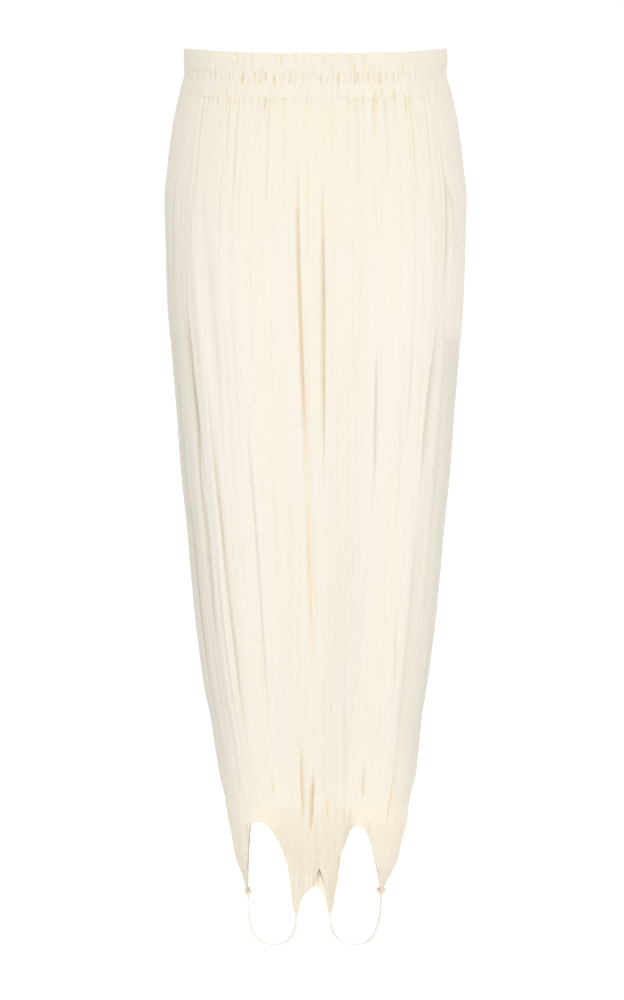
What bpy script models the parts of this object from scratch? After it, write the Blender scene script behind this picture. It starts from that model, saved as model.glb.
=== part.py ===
"""Low-crotch stirrup trousers in gathered jersey, hollow, in the shape of their wearer.

Metres, +Z up, the front faces -Y. The origin is the centre of the waist opening, level with
its top edge at the hips. The wearer's left leg is at +X. The trousers are one wide body
down to the ankles, where it parts into two foot openings with a strap under each.
"""

import collections
import functools
import math

import bmesh
import bpy
import numpy as np
from mathutils import Vector

MM = 0.001
NAME = "stirrup_trousers"

# Cloth
CLOTH_WALL = 1.4 * MM
BAND_WALL = 3.0 * MM
SEAM_GAP = 0.3 * MM
CREAM = (0.955, 0.915, 0.815)
OFF_WHITE = (0.90, 0.90, 0.86)
ROUGHNESS = 0.85

# Heights, as distances below the top edge at the hips
BAND_DEEP = 55 * MM
ARCH_SECTION = 900 * MM  # below this the section stays the same, and only the hem is drawn in
TILT_FADES_AT = 350 * MM

# The waist is tilted: lower at the centre front, a little higher at the centre back. The
# lift is SLOPE * y + BOW * y * y.
TILT_SLOPE = 0.1157
TILT_BOW = -0.5555

# The body's sections, in millimetres. half_width, front and back are how far the cloth
# reaches from the middle, flat is where the front starts to turn to the side, and dip is
# how far the cloth sinks at the middle, between the legs.
Level = collections.namedtuple("Level", "down half_width front back flat dip")
LEVELS = (
    Level(-10, 154, 108, 112, 40, 0),
    Level(0, 154, 108, 112, 40, 0),
    Level(26, 154, 109, 113, 40, 0),
    Level(55, 160, 113, 118, 42, 0),
    Level(108, 169, 119, 128, 46, 0),
    Level(143, 173, 122, 135, 50, 1),
    Level(178, 176, 124, 139, 54, 3),
    Level(213, 175, 124, 141, 58, 5),
    Level(283, 173, 122, 140, 64, 8),
    Level(353, 168, 118, 134, 68, 11),
    Level(424, 162, 113, 126, 70, 13),
    Level(494, 157, 107, 119, 70, 14),
    Level(564, 150, 101, 112, 68, 15),
    Level(634, 144, 95, 105, 66, 15),
    Level(705, 136, 88, 97, 62, 14),
    Level(775, 126, 81, 88, 58, 13),
    Level(845, 115, 73, 79, 53, 11),
    Level(900, 105, 67, 71, 48, 9),
)
SIDE_ROUNDNESS = 2.25  # exponent of the rounded side: 2 is an ellipse

# The lower edge, the same at the front and the back: how far below the waist it lies, at
# distances from the middle, in millimetres. Each foot opening is an arch between an outer
# point, at the side seam, and an inner point, and the cloth is notched at the middle.
Edge = collections.namedtuple("Edge", "across down")
HEM = {
    "right": (
        Edge(0, 982), Edge(4, 983), Edge(10, 988), Edge(16, 995), Edge(19, 1005),
        Edge(22, 1014), Edge(26, 1008), Edge(29, 990), Edge(31, 972), Edge(34, 952),
        Edge(37, 941), Edge(40.5, 932), Edge(46, 922), Edge(51, 914), Edge(58, 908),
        Edge(67, 905.5), Edge(73, 908), Edge(76, 920), Edge(78.5, 955), Edge(81, 984),
        Edge(90, 988), Edge(105, 988),
    ),
    "left": (
        Edge(0, 980), Edge(4, 984), Edge(9, 993), Edge(13, 1004), Edge(17.5, 1014),
        Edge(21, 1002), Edge(24, 984), Edge(27.5, 964), Edge(31, 941), Edge(33.5, 932),
        Edge(37, 920), Edge(41, 912), Edge(47, 909), Edge(53, 911), Edge(57, 920),
        Edge(60, 950), Edge(63, 982), Edge(75, 987), Edge(105, 987),
    ),
}
ARCH_TOP = {"right": 67 * MM, "left": 47 * MM}

# A short slit in the front's lower edge, on the wearer's left of the centre seam
SLIT_ACROSS = 4.2 * MM
SLIT_HALF_WIDE = 4.2 * MM
SLIT_HIGH = 25 * MM

# The outer cloth below the arches is drawn in to a point beside the ankle, and the cloth
# between the feet closes onto the back, which it is sewn to.
OUTER_POINT = {"right": (-79 * MM, 12 * MM), "left": (77 * MM, 12 * MM)}
INNER_POINT = {"right": (-22 * MM, 0.0), "left": (17.5 * MM, 0.0)}
DrawnIn = collections.namedtuple("DrawnIn", "down share")
DRAWN_IN = (
    DrawnIn(898, 0.0), DrawnIn(915, 0.13), DrawnIn(927, 0.25), DrawnIn(950, 0.47),
    DrawnIn(974, 0.78), DrawnIn(990, 0.88),
)
CLOSES = (875 * MM, 980 * MM)
CLOSES_FULLY_WITHIN = 32 * MM
CLOSES_NOT_BEYOND = 68 * MM

# Gathers: a ridge and a trough of the cloth take two columns of a panel.
PANEL_COLUMNS = 40
GATHERS_FADE = 2  # columns over which the gathers fade at the centre seam
Gathers = collections.namedtuple("Gathers", "down height")
GATHERS = (
    Gathers(55, 1.5), Gathers(75, 1.6), Gathers(110, 1.15), Gathers(160, 0.7),
    Gathers(230, 0.3), Gathers(320, 0.0), Gathers(1100, 0.0),
)
LEVEL_RINGS = (66, 90, 125, 166, 208, 260, 300, 343, 400, 470, 550, 640, 730, 800, 850)
HEM_RINGS = (0.22, 0.44, 0.64, 0.82, 1.0)

# The largest creases, in millimetres. top, middle and bottom are how far the crease lies
# from the centre, towards the wearer's left, at its two ends and halfway. A depth below 0
# is a ridge.
CREASE_TIP = 0.2  # share of a crease's length over which it fades in and out
CREASES_CLEAR = 3  # columns over which the creases fade at the side seam
Crease = collections.namedtuple(
    "Crease", "face start end top middle bottom half_width depth"
)
CREASES = (
    Crease("front", 70, 830, -20, -13, 5, 5, 6.0),
    Crease("front", 160, 500, 6, 8.5, 8, 4.5, 9.0),
    Crease("front", 130, 520, -5, -4, -4, 7, -3.0),
    Crease("front", 61, 353, 137, 156, 141, 9, 5.0),
    Crease("front", 330, 890, 141, 118, 91, 10, 5.5),
    Crease("front", 360, 880, 156, 131, 97, 9, -3.0),
    Crease("front", 450, 895, 112, 100, 84, 8, -3.0),
    Crease("front", 290, 892, -150, -123, -88, 9, 6.0),
    Crease("front", 318, 898, -134, -104, -70, 6, 4.0),
    Crease("front", 80, 892, -142, -120, -78, 10, -3.5),
    Crease("front", 150, 420, -128, -122, -112, 9, 3.0),
    Crease("front", 365, 869, -88, -67, -47, 6, 3.0),
    Crease("front", 300, 540, 116, 109, 100, 5, 2.5),
    Crease("front", 320, 620, 72, 69, 64, 5, 2.5),
    Crease("front", 780, 905, -17, -15, -14, 6, 4.0),
    Crease("front", 845, 930, 86, 83, 78, 5, 3.0),
    Crease("back", 70, 780, 16, 10, -4, 5, 6.0),
    Crease("back", 150, 520, -12, -13, -11, 5, 6.5),
    Crease("back", 61, 370, -136, -154, -142, 9, 5.0),
    Crease("back", 340, 890, -142, -116, -88, 10, 5.5),
    Crease("back", 370, 880, -156, -130, -97, 9, -3.0),
    Crease("back", 300, 890, 149, 125, 90, 9, 6.0),
    Crease("back", 100, 880, 140, 119, 78, 10, -3.5),
    Crease("back", 310, 880, 128, 98, 66, 6, 4.0),
    Crease("back", 380, 850, 84, 66, 48, 6, 3.0),
    Crease("back", 330, 640, -70, -66, -60, 5, 2.5),
    Crease("back", 770, 900, 12, 14, 12, 6, 4.0),
)

# Waistband: two elastic channels with a gathered stitch row between them, in millimetres
# but for share, which is how far down the band a ring lies.
BAND_COLUMNS = 120
BandRing = collections.namedtuple("BandRing", "share out gather")
BAND_RINGS = (
    BandRing(0.0, -0.6, 0.3),
    BandRing(0.20, 0.8, 0.5),
    BandRing(0.46, -1.6, 1.0),
    BandRing(0.72, 0.9, 0.6),
    BandRing(1.0, -0.4, 1.3),
)

# Pockets in the side seams: how far the mouth opens, and the bag behind the front panel
MOUTH = (100 * MM, 208 * MM)
MOUTH_OPENS = 3.0 * MM
BAG_WALL = 1.5 * MM
BAG_COLUMNS = (1, 14)  # columns of the front panel between which the bag lies
BAG_ENDS = (66, 343)  # its first and last level, out of LEVEL_RINGS

# Strap under the foot
STRAP_WIDE = 6 * MM
STRAP_THICK = 1.2 * MM
STRAP_LOW = 1050 * MM
STRAP_STEPS = 28
STRAP_FULLNESS = 2.5  # exponent of the loop: 2 is half an ellipse
Turn = collections.namedtuple("Turn", "share degrees")
STRAP_TURNS = (Turn(0.0, 12), Turn(0.25, 50), Turn(0.5, 22), Turn(0.75, 30), Turn(1.0, 58))

# Tacks, gathered knots of cloth at the outer points
TACK_SIZE = (4.2 * MM, 4.5 * MM, 3.5 * MM)
TACK_SEGMENTS = (15, 6)
TACK_LOBES = 5
TACK_LOBE_DEPTH = 0.18


def smooth(rows, place, value, at):
    """A smooth curve through one column of a table, that never passes its rows' values."""
    places = np.array([getattr(row, place) for row in rows], float)
    values = np.array([getattr(row, value) for row in rows], float)
    at = min(max(at, places[0]), places[-1])
    rates = np.diff(values) / np.diff(places)
    before, after = rates[:-1], rates[1:]
    level = before * after <= 0
    means = 2 * before * after / np.where(level, 1, before + after)
    slopes = np.concatenate([[0], np.where(level, 0, means), [0]])
    i = min(int(np.searchsorted(places, at, side="right")) - 1, len(places) - 2)
    span = places[i + 1] - places[i]
    share = (at - places[i]) / span
    left = values[i] + share * span * slopes[i]
    right = values[i + 1] - (1 - share) * span * slopes[i + 1]
    ease = share * share * (3 - 2 * share)
    return float(left * (1 - ease) + right * ease)


def step(share):
    """Eases from 0 to 1."""
    share = np.clip(share, 0.0, 1.0)
    return share * share * (3 - 2 * share)


def rounded(angle, roundness):
    """A point of a superellipse that reaches 1 each way."""
    across, along = np.cos(angle), np.sin(angle)
    far = (np.abs(across) ** roundness + np.abs(along) ** roundness) ** (-1 / roundness)
    return across * far, along * far


@functools.lru_cache(maxsize=None)
def section(face, down, samples=96):
    """Half of the body's line on one level, from the side seam to the centre seam.

    Returns distances across from the centre and out to the front or back, outward
    directions, and distances along the line.
    """
    reach, deep, flat, dip = (
        smooth(LEVELS, "down", name, down / MM) * MM
        for name in ("half_width", face, "flat", "dip")
    )
    x, y = rounded(np.linspace(0, math.pi / 2, samples), SIDE_ROUNDNESS)
    xs, ys = flat + (reach - flat) * x, deep * y
    to_middle = np.linspace(0, 1, samples)[1:]
    xs = np.append(xs, flat * (1 - to_middle))
    ys = np.append(ys, deep - dip * (1 - np.cos(math.pi * to_middle)) / 2)

    along = np.append(0, np.cumsum(np.hypot(np.diff(xs), np.diff(ys))))
    even = np.linspace(0, along[-1], 2 * samples)
    xs, ys = np.interp(even, along, xs), np.interp(even, along, ys)
    out = np.stack([np.gradient(ys, even), -np.gradient(xs, even)], axis=1)
    return xs, ys, out / np.linalg.norm(out, axis=1)[:, None], even


def mouth_gap(face, down):
    """How far the front panel's edge stands away from the side seam, at the pocket."""
    top, bottom = MOUTH
    run = (down - top) / (bottom - top)
    if face == "back" or not 0 < run < 1:
        return 0.0
    return MOUTH_OPENS * math.sin(math.pi * run)


@functools.lru_cache(maxsize=None)
def base(leg, face, share, down):
    """A panel's place, outward direction and distance from the side seam, uncreased."""
    xs, ys, out, along = section(face, min(down, ARCH_SECTION))
    start = SEAM_GAP / 2 + mouth_gap(face, down)
    at = start + share * (along[-1] - SEAM_GAP / 2 - start)
    x, y = (float(np.interp(at, along, values)) for values in (xs, ys))
    outward = [float(np.interp(at, along, out[:, axis])) for axis in (0, 1)]
    side = 1 if leg == "left" else -1
    to_back = 1 if face == "back" else -1
    direction = Vector((side * outward[0], to_back * outward[1], 0.0)).normalized()
    return (side * x, to_back * y), direction, at


def crease_height(leg, face, down, at):
    """How far the creases push the cloth in or out, at a distance from the side seam."""
    xs, _, _, along = section(face, min(down, ARCH_SECTION))
    side = 1 if leg == "left" else -1
    total = 0.0
    for crease in CREASES:
        run = (down / MM - crease.start) / (crease.end - crease.start)
        if crease.face != face or not 0 < run < 1:
            continue
        bend = 4 * crease.middle - 2 * (crease.top + crease.bottom)
        x = crease.top + (crease.bottom - crease.top) * run + bend * run * (1 - run)
        across = side * x * MM
        middle = float(np.interp(-max(across, 0.0), -xs, along)) + max(-across, 0.0)
        off = (at - middle) / (crease.half_width * MM)
        fade = step(min(run, 1 - run) / CREASE_TIP)
        total -= crease.depth * MM * math.exp(-off * off) * fade
    return total


@functools.lru_cache(maxsize=None)
def panel_height(leg, face, index, down):
    """Gathers and creases of a panel's column on one level."""
    share = index / PANEL_COLUMNS
    _, _, at = base(leg, face, share, down)
    high = smooth(GATHERS, "down", "height", down / MM) * MM
    to_centre = min(1.0, (PANEL_COLUMNS - index) / GATHERS_FADE)
    gather = high * to_centre * (1 if index % 2 else -1)
    return gather + crease_height(leg, face, down, at) * step(index / CREASES_CLEAR)


@functools.lru_cache(maxsize=None)
def edge_down(leg, face, share):
    """How far below the waist a panel's lower edge lies."""
    (x, _), _, _ = base(leg, face, share, ARCH_SECTION)
    down = smooth(HEM[leg], "across", "down", abs(x) / MM) * MM
    if (leg, face) == ("left", "front"):
        down -= SLIT_HIGH * max(0.0, 1 - abs(abs(x) - SLIT_ACROSS) / SLIT_HALF_WIDE)
    return down


def drawn_in(leg, face, down, place):
    """Draws the outer cloth in to its point, and closes the inner cloth onto the back."""
    x, y = place
    across = abs(x)
    if across > ARCH_TOP[leg]:
        share = smooth(DRAWN_IN, "down", "share", down / MM)
        to_x, to_y = OUTER_POINT[leg]
        return x + (to_x - x) * share, y + (to_y - y) * share
    start, end = CLOSES
    inner = (CLOSES_NOT_BEYOND - across) / (CLOSES_NOT_BEYOND - CLOSES_FULLY_WITHIN)
    share = float(step((down - start) / (end - start)) * step(inner))
    closed = (CLOTH_WALL + SEAM_GAP / 2) * (1 if face == "back" else -1)
    return x, y + (closed - y) * share


def tilt(down, y):
    """How far the tilted waist lifts the cloth."""
    return (TILT_SLOPE * y + TILT_BOW * y * y) * (1 - step(down / TILT_FADES_AT))


def panel_point(leg, face, index, down, depth):
    """World place of a panel's point, depth below its outer face."""
    place, outward, _ = base(leg, face, index / PANEL_COLUMNS, down)
    x, y = drawn_in(leg, face, down, place)
    height = panel_height(leg, face, index, down)
    return Vector((x, y, tilt(down, y) - down)) + outward * (height - depth)


def ring_downs(leg, face, index):
    """Levels of one column's points, from the waistband to the lower edge."""
    levels = [BAND_DEEP + SEAM_GAP] + [down * MM for down in LEVEL_RINGS]
    rest = edge_down(leg, face, index / PANEL_COLUMNS) - levels[-1]
    return levels + [levels[-1] + share * rest for share in HEM_RINGS]


def slab(name, columns, rows, place, colour):
    """A flat slab of cells, wrapped into place by a function of column, row and layer."""
    bm = bmesh.new()
    bmesh.ops.create_grid(bm, x_segments=columns, y_segments=rows, size=0.5)
    bmesh.ops.solidify(bm, geom=bm.faces[:], thickness=1.0)
    middle = sum(v.co.z for v in bm.verts) / len(bm.verts)
    for vert in bm.verts:
        i = round((vert.co.x + 0.5) * columns)
        j = round((vert.co.y + 0.5) * rows)
        vert.co = place(i, j, 1 if vert.co.z < middle else 0)
    if bm.calc_volume(signed=True) < 0:
        bmesh.ops.reverse_faces(bm, faces=bm.faces[:])
    return add_object(name, bm, colour)


def add_object(name, bm, colour):
    mesh = bpy.data.meshes.new(name)
    bm.to_mesh(mesh)
    bm.free()
    mesh.shade_smooth()
    mesh.materials.append(cloth_material(name, colour))
    obj = bpy.data.objects.new(name, mesh)
    bpy.data.collections[NAME].objects.link(obj)
    return obj


def cloth_material(name, colour):
    material = bpy.data.materials.new(f"{name}_cloth")
    material.use_nodes = True
    shader = material.node_tree.nodes["Principled BSDF"]
    shader.inputs["Base Color"].default_value = (*colour, 1)
    shader.inputs["Roughness"].default_value = ROUGHNESS
    shader.inputs["Metallic"].default_value = 0.0
    return material


def make_panel(leg, face):
    downs = [ring_downs(leg, face, i) for i in range(PANEL_COLUMNS + 1)]

    def place(i, j, layer):
        return panel_point(leg, face, i, downs[i][j], layer * CLOTH_WALL)

    slab(f"leg_{face}_{leg}", PANEL_COLUMNS, len(downs[0]) - 1, place, CREAM)


def make_pocket(leg):
    """The bag hangs against the inside of the front panel, whose points it follows."""
    first, last = BAG_COLUMNS
    top, bottom = (LEVEL_RINGS.index(down) for down in BAG_ENDS)
    downs = [down * MM for down in LEVEL_RINGS[top:bottom + 1]]

    def place(i, j, layer):
        depth = CLOTH_WALL + SEAM_GAP + layer * BAG_WALL
        return panel_point(leg, "front", first + i, downs[j], depth)

    slab(f"pocket_{leg}", last - first, len(downs) - 1, place, CREAM)


def make_waistband():
    """One strip round the waist, from the centre back over the right side and the front."""
    quarters = (("right", "back"), ("right", "front"), ("left", "front"), ("left", "back"))
    each = BAND_COLUMNS // len(quarters)

    def place(i, j, layer):
        turn = min(i // each, len(quarters) - 1)
        leg, face = quarters[turn]
        run = i / each - turn
        share = run if turn % 2 else 1 - run
        ring = BAND_RINGS[j]
        down = ring.share * BAND_DEEP
        (x, y), outward, _ = base(leg, face, share, down)
        gather = ring.gather * (1 if i % 2 else -1) * (0 < i < BAND_COLUMNS)
        height = (ring.out + gather) * MM - layer * BAND_WALL
        return Vector((x, y, tilt(down, y) - down)) + outward * height

    slab("waistband", BAND_COLUMNS, len(BAND_RINGS) - 1, place, CREAM)


@functools.lru_cache(maxsize=None)
def lowest_edge(leg, outer):
    """How far below the waist the cloth's outer or inner point lies."""
    shares = [i / PANEL_COLUMNS for i in range(PANEL_COLUMNS + 1)]
    found = []
    for face in ("front", "back"):
        for share in shares:
            (x, _), _, _ = base(leg, face, share, ARCH_SECTION)
            if (abs(x) > ARCH_TOP[leg]) == outer:
                found.append(edge_down(leg, face, share))
    return max(found)


def strap_line(leg, share):
    """The middle of the strap, as a full loop from the outer point to the inner one."""
    (x1, y1), (x2, y2) = OUTER_POINT[leg], INNER_POINT[leg]
    across, low = rounded(math.pi * share, STRAP_FULLNESS)
    mix = (1 - across) / 2
    outer = lowest_edge(leg, True) + 2 * SEAM_GAP + 2 * TACK_SIZE[2]
    inner = lowest_edge(leg, False) + SEAM_GAP
    start = outer + (inner - outer) * mix
    down = start + (STRAP_LOW - start) * low
    return Vector((x1 + (x2 - x1) * mix, y1 + (y2 - y1) * mix, -down))


def make_strap(leg):
    near = 0.01

    def place(i, j, layer):
        share = i / STRAP_STEPS
        middle = strap_line(leg, share)
        ahead = strap_line(leg, min(share + near, 1.0)) - strap_line(leg, max(share - near, 0.0))
        turn = math.radians(smooth(STRAP_TURNS, "share", "degrees", share))
        thick = ahead.cross(Vector((-math.sin(turn), math.cos(turn), 0.0))).normalized()
        broad = thick.cross(ahead).normalized()
        return middle + broad * STRAP_WIDE * (j - 0.5) + thick * STRAP_THICK * (layer - 0.5)

    slab(f"strap_{leg}", STRAP_STEPS, 1, place, OFF_WHITE)


def make_tack(leg):
    bm = bmesh.new()
    around, high = TACK_SEGMENTS
    bmesh.ops.create_uvsphere(bm, u_segments=around, v_segments=high, radius=1.0)
    down = lowest_edge(leg, True) + SEAM_GAP + TACK_SIZE[2]
    middle = Vector((*OUTER_POINT[leg], -down))
    for vert in bm.verts:
        x, y, z = vert.co
        lobes = 1 - TACK_LOBE_DEPTH * math.sin(TACK_LOBES * math.atan2(y, x)) ** 2
        size = TACK_SIZE
        vert.co = middle + Vector((x * lobes * size[0], y * lobes * size[1], z * size[2]))
    add_object(f"tack_{leg}", bm, CREAM)


def clear_scene():
    for obj in list(bpy.data.objects):
        bpy.data.objects.remove(obj)
    for collection in list(bpy.data.collections):
        bpy.data.collections.remove(collection)
    bpy.context.scene.collection.children.link(bpy.data.collections.new(NAME))


def main():
    clear_scene()
    make_waistband()
    for leg in ("right", "left"):
        for face in ("front", "back"):
            make_panel(leg, face)
        make_pocket(leg)
        make_strap(leg)
        make_tack(leg)


main()
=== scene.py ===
"""Looks of the low-crotch stirrup trousers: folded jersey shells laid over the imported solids.

It is laid out as an add-on and run as a script. Metres, +Z up, the front faces -Y, and the
wearer's left leg is at +X. Heights are given as distances down from the waist's top edge.
"""

import collections
import functools
import math
import random

import bpy
import numpy as np
from bpy.props import FloatProperty, FloatVectorProperty, PointerProperty
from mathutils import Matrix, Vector


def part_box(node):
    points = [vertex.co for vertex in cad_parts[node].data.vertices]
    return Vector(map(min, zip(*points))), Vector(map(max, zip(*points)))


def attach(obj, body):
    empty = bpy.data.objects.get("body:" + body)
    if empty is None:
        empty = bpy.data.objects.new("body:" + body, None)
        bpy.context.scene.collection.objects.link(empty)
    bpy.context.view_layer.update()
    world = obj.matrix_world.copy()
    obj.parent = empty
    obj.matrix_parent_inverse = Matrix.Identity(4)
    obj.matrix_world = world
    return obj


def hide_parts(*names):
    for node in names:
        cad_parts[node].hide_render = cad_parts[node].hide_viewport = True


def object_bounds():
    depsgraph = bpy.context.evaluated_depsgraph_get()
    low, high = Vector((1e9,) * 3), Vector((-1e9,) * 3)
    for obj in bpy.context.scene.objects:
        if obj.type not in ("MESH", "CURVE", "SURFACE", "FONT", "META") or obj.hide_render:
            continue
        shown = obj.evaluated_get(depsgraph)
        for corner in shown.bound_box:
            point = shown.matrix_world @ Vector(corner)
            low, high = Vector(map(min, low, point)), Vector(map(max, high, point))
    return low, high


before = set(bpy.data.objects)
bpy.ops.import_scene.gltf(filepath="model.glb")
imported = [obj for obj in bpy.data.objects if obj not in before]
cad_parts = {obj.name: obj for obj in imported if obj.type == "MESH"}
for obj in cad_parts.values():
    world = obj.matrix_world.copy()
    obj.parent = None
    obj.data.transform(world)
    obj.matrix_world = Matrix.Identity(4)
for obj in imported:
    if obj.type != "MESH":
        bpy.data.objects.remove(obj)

bl_info = {
    "name": "Stirrup trousers",
    "version": (1, 0, 0),
    "blender": (4, 5, 0),
    "location": "3D view > Sidebar > Trousers",
    "description": "Dresses the packed solids of the stirrup trousers in folded jersey",
    "category": "Object",
}

CAD_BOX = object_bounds()
BODY = "root"
LEGS = ("right", "left")
FACES = ("front", "back")

# Heights, and how the waist's edge rises from front to back
BAND_DEEP = 0.055
ARCH_SECTION = 0.900  # below this the section stays the same, and only the hem is drawn in
TILT_FADES_AT = 0.350
TILT_SLOPE = 0.1157
TILT_BOW = -0.5555

MM = 1000
TENTHS_OF_MM = 10000


def table(row_type, unit, *rows):
    """A table's rows in metres, from whole numbers of a unit."""
    return tuple(row_type(*(value / unit for value in row)) for row in rows)


# The body's sections: half width, depth to the front and back, the flat middle, and how far
# the cloth sinks between the legs
Level = collections.namedtuple("Level", "down half_width front back flat dip")
LEVELS = table(
    Level, MM,
    (-10, 154, 108, 112, 40, 0),
    (0, 154, 108, 112, 40, 0),
    (26, 154, 109, 113, 40, 0),
    (55, 160, 113, 118, 42, 0),
    (108, 169, 119, 128, 46, 0),
    (143, 173, 122, 135, 50, 1),
    (178, 176, 124, 139, 54, 3),
    (213, 175, 124, 141, 58, 5),
    (283, 173, 122, 140, 64, 8),
    (353, 168, 118, 134, 68, 11),
    (424, 162, 113, 126, 70, 13),
    (494, 157, 107, 119, 70, 14),
    (564, 150, 101, 112, 68, 15),
    (634, 144, 95, 105, 66, 15),
    (705, 136, 88, 97, 62, 14),
    (775, 126, 81, 88, 58, 13),
    (845, 115, 73, 79, 53, 11),
    (900, 105, 67, 71, 48, 9),
)
SIDE_ROUNDNESS = 2.25
LEVEL_STEP = 0.004
LINE_SAMPLES = 192

# The lower edge of each leg's side at distances from the middle
Edge = collections.namedtuple("Edge", "across down")
HEM = {
    "right": table(
        Edge, TENTHS_OF_MM,
        (0, 9820), (40, 9830), (100, 9880), (160, 9950), (190, 10050), (220, 10140),
        (260, 10080), (290, 9900), (310, 9720), (340, 9520), (370, 9410), (405, 9320),
        (460, 9220), (510, 9140), (580, 9080), (670, 9055), (730, 9080), (760, 9200),
        (785, 9550), (810, 9840), (900, 9880), (1050, 9880),
    ),
    "left": table(
        Edge, TENTHS_OF_MM,
        (0, 9800), (40, 9840), (90, 9930), (130, 10040), (175, 10140), (210, 10020),
        (240, 9840), (275, 9640), (310, 9410), (335, 9320), (370, 9200), (410, 9120),
        (470, 9090), (530, 9110), (570, 9200), (600, 9500), (630, 9820), (750, 9870),
        (1050, 9870),
    ),
}
ARCH_TOP = {"right": 0.067, "left": 0.047}
TURNS_OVER = 0.005  # width beyond an arch's top over which the cloth starts to be drawn in
CLOSING_TURNS_OVER = 0.015  # width within it over which the front and back start to close
HEM_BEAD = 0.0005  # height of the rolled hem
HEM_WIDE = 0.0035
HEM_EASES = HEM_WIDE / 3

# How far the front's lower edge lies above the back's, from the wearer's right to the left:
# over the right arch, at the slit and over the left arch
Lift = collections.namedtuple("Lift", "across up")
FRONT_LIFTS = table(
    Lift, TENTHS_OF_MM,
    (-790, 0), (-745, 45), (-670, 52), (-560, 46), (-460, 30), (-350, 0), (-10, 0), (41, 250),
    (88, 215), (123, 180), (146, 130), (165, 60), (178, 0), (350, 0), (410, 28), (480, 38),
    (540, 40), (600, 0),
)

# Where the strap starts at the outer ankle and between the feet: across, and to the back
OUTER_POINT = {"right": (-0.079, 0.012), "left": (0.077, 0.012)}
INNER_POINT = {"right": (-0.022, 0.0), "left": (0.0175, 0.0)}
# Share of the way to its outer point by which the cloth outside an arch is drawn in
DrawnIn = collections.namedtuple("DrawnIn", "down share")
DRAWN_IN = (
    DrawnIn(0.898, 0.0), DrawnIn(0.915, 0.13), DrawnIn(0.927, 0.25), DrawnIn(0.950, 0.47),
    DrawnIn(0.974, 0.78), DrawnIn(0.990, 0.88),
)
# How far the outer cloth swells out over its solid just above the ankles
Swell = collections.namedtuple("Swell", "down out")
SWELLS = {
    "right": table(
        Swell, TENTHS_OF_MM,
        (7400, 0), (8000, -18), (8600, -10), (8850, -8), (9040, -30), (9300, -10), (9600, 0),
    ),
    "left": table(
        Swell, TENTHS_OF_MM,
        (7600, 0), (8200, 18), (8680, 42), (9020, 30), (9350, 38), (9600, 44), (9760, 12),
        (9880, 0),
    ),
}
SWELLS_BEYOND = {"right": 0.080, "left": 0.050}
SWELLS_FULLY_FROM = {"right": 0.100, "left": 0.085}
# Between the feet the front and the back close onto each other: over these distances down,
# fully near the middle and not at all farther out
CLOSES = (0.875, 0.980)
CLOSES_FULLY_WITHIN = 0.032
CLOSES_NOT_BEYOND = 0.068
CLOSED_GAP = 0.00155
CLOSED_FLATTENS = 0.70  # share of their height that folds lose there
CLOSED_WAVES = ((0.0016, 0.0172), (0.0010, 0.0091))  # heights and lengths
CLOSED_WAVES_RUN = 1.5  # turns that these waves lag for each metre down

# Pockets in the side seams
MOUTH = (0.100, 0.208)
MOUTH_OPENS = 0.003
BAG_TOP = 0.066
BAG_BOTTOM = 0.343
BAG_SHARE = 0.35  # of the front's half, from the side seam
BAG_WALL = 0.0015
BAG_BEHIND = 0.0008  # how far the bag hangs behind the inner side of the front
BAG_STANDS_OUT = 0.0006
BAG_EDGE = 0.003  # distance over which its lower edge shows through the front
BAG_FADES = 0.02  # the same for its other edges
BAG_LAPS = 0.006  # how far the bag reaches in behind the back's edge
LAP_STEPS = (0.33, 0.67, 1.0)

# Grid of a panel: columns in a half, and rows above and below the arches
COLUMNS = {"front": 330, "back": 250}
CLOTH_HALF_WIDE = 0.27  # the knit's own width from the centre seam to the side seam
PANEL_TOP = 0.0528
ARCH_ROWS_FROM = 0.850
BODY_ROWS = 112
BODY_ROWS_CROWD = 1.2  # exponents that crowd the rows towards the waist and the hem
HEM_ROWS = 26
HEM_ROWS_CROWD = 1.4
TUCK = 0.0010  # the cloth's top edge lies this far inside the waistband's lower edge
TUCK_ENDS = 0.0562
TUCK_RUN = 0.0032
SEAM_DIP = 0.0008  # how far the side seams' lines are sunk
SEAM_WIDE = 0.0016
SMALLEST = 1e-14  # a normal shorter than this has no direction

# Creases, a row for each. start and end are mm down from the waist. top, middle
# and bottom say where the crease lies, in thousandths of the way from the centre seam to the
# side seam, above 0 towards the wearer's left. half_width and depth are tenths of a mm, and a
# depth below 0 is a ridge. lean, in tenths, makes one side of a crease steeper.
Crease = collections.namedtuple("Crease", "start end top middle bottom half_width depth lean")
CREASE_UNITS = Crease(1000, 1000, 1000, 1000, 1000, 10000, 10000, 10)


def creases(*rows):
    """Creases in metres and shares, from rows of whole numbers."""
    return [Crease(*(value / unit for value, unit in zip(row, CREASE_UNITS))) for row in rows]


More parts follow.
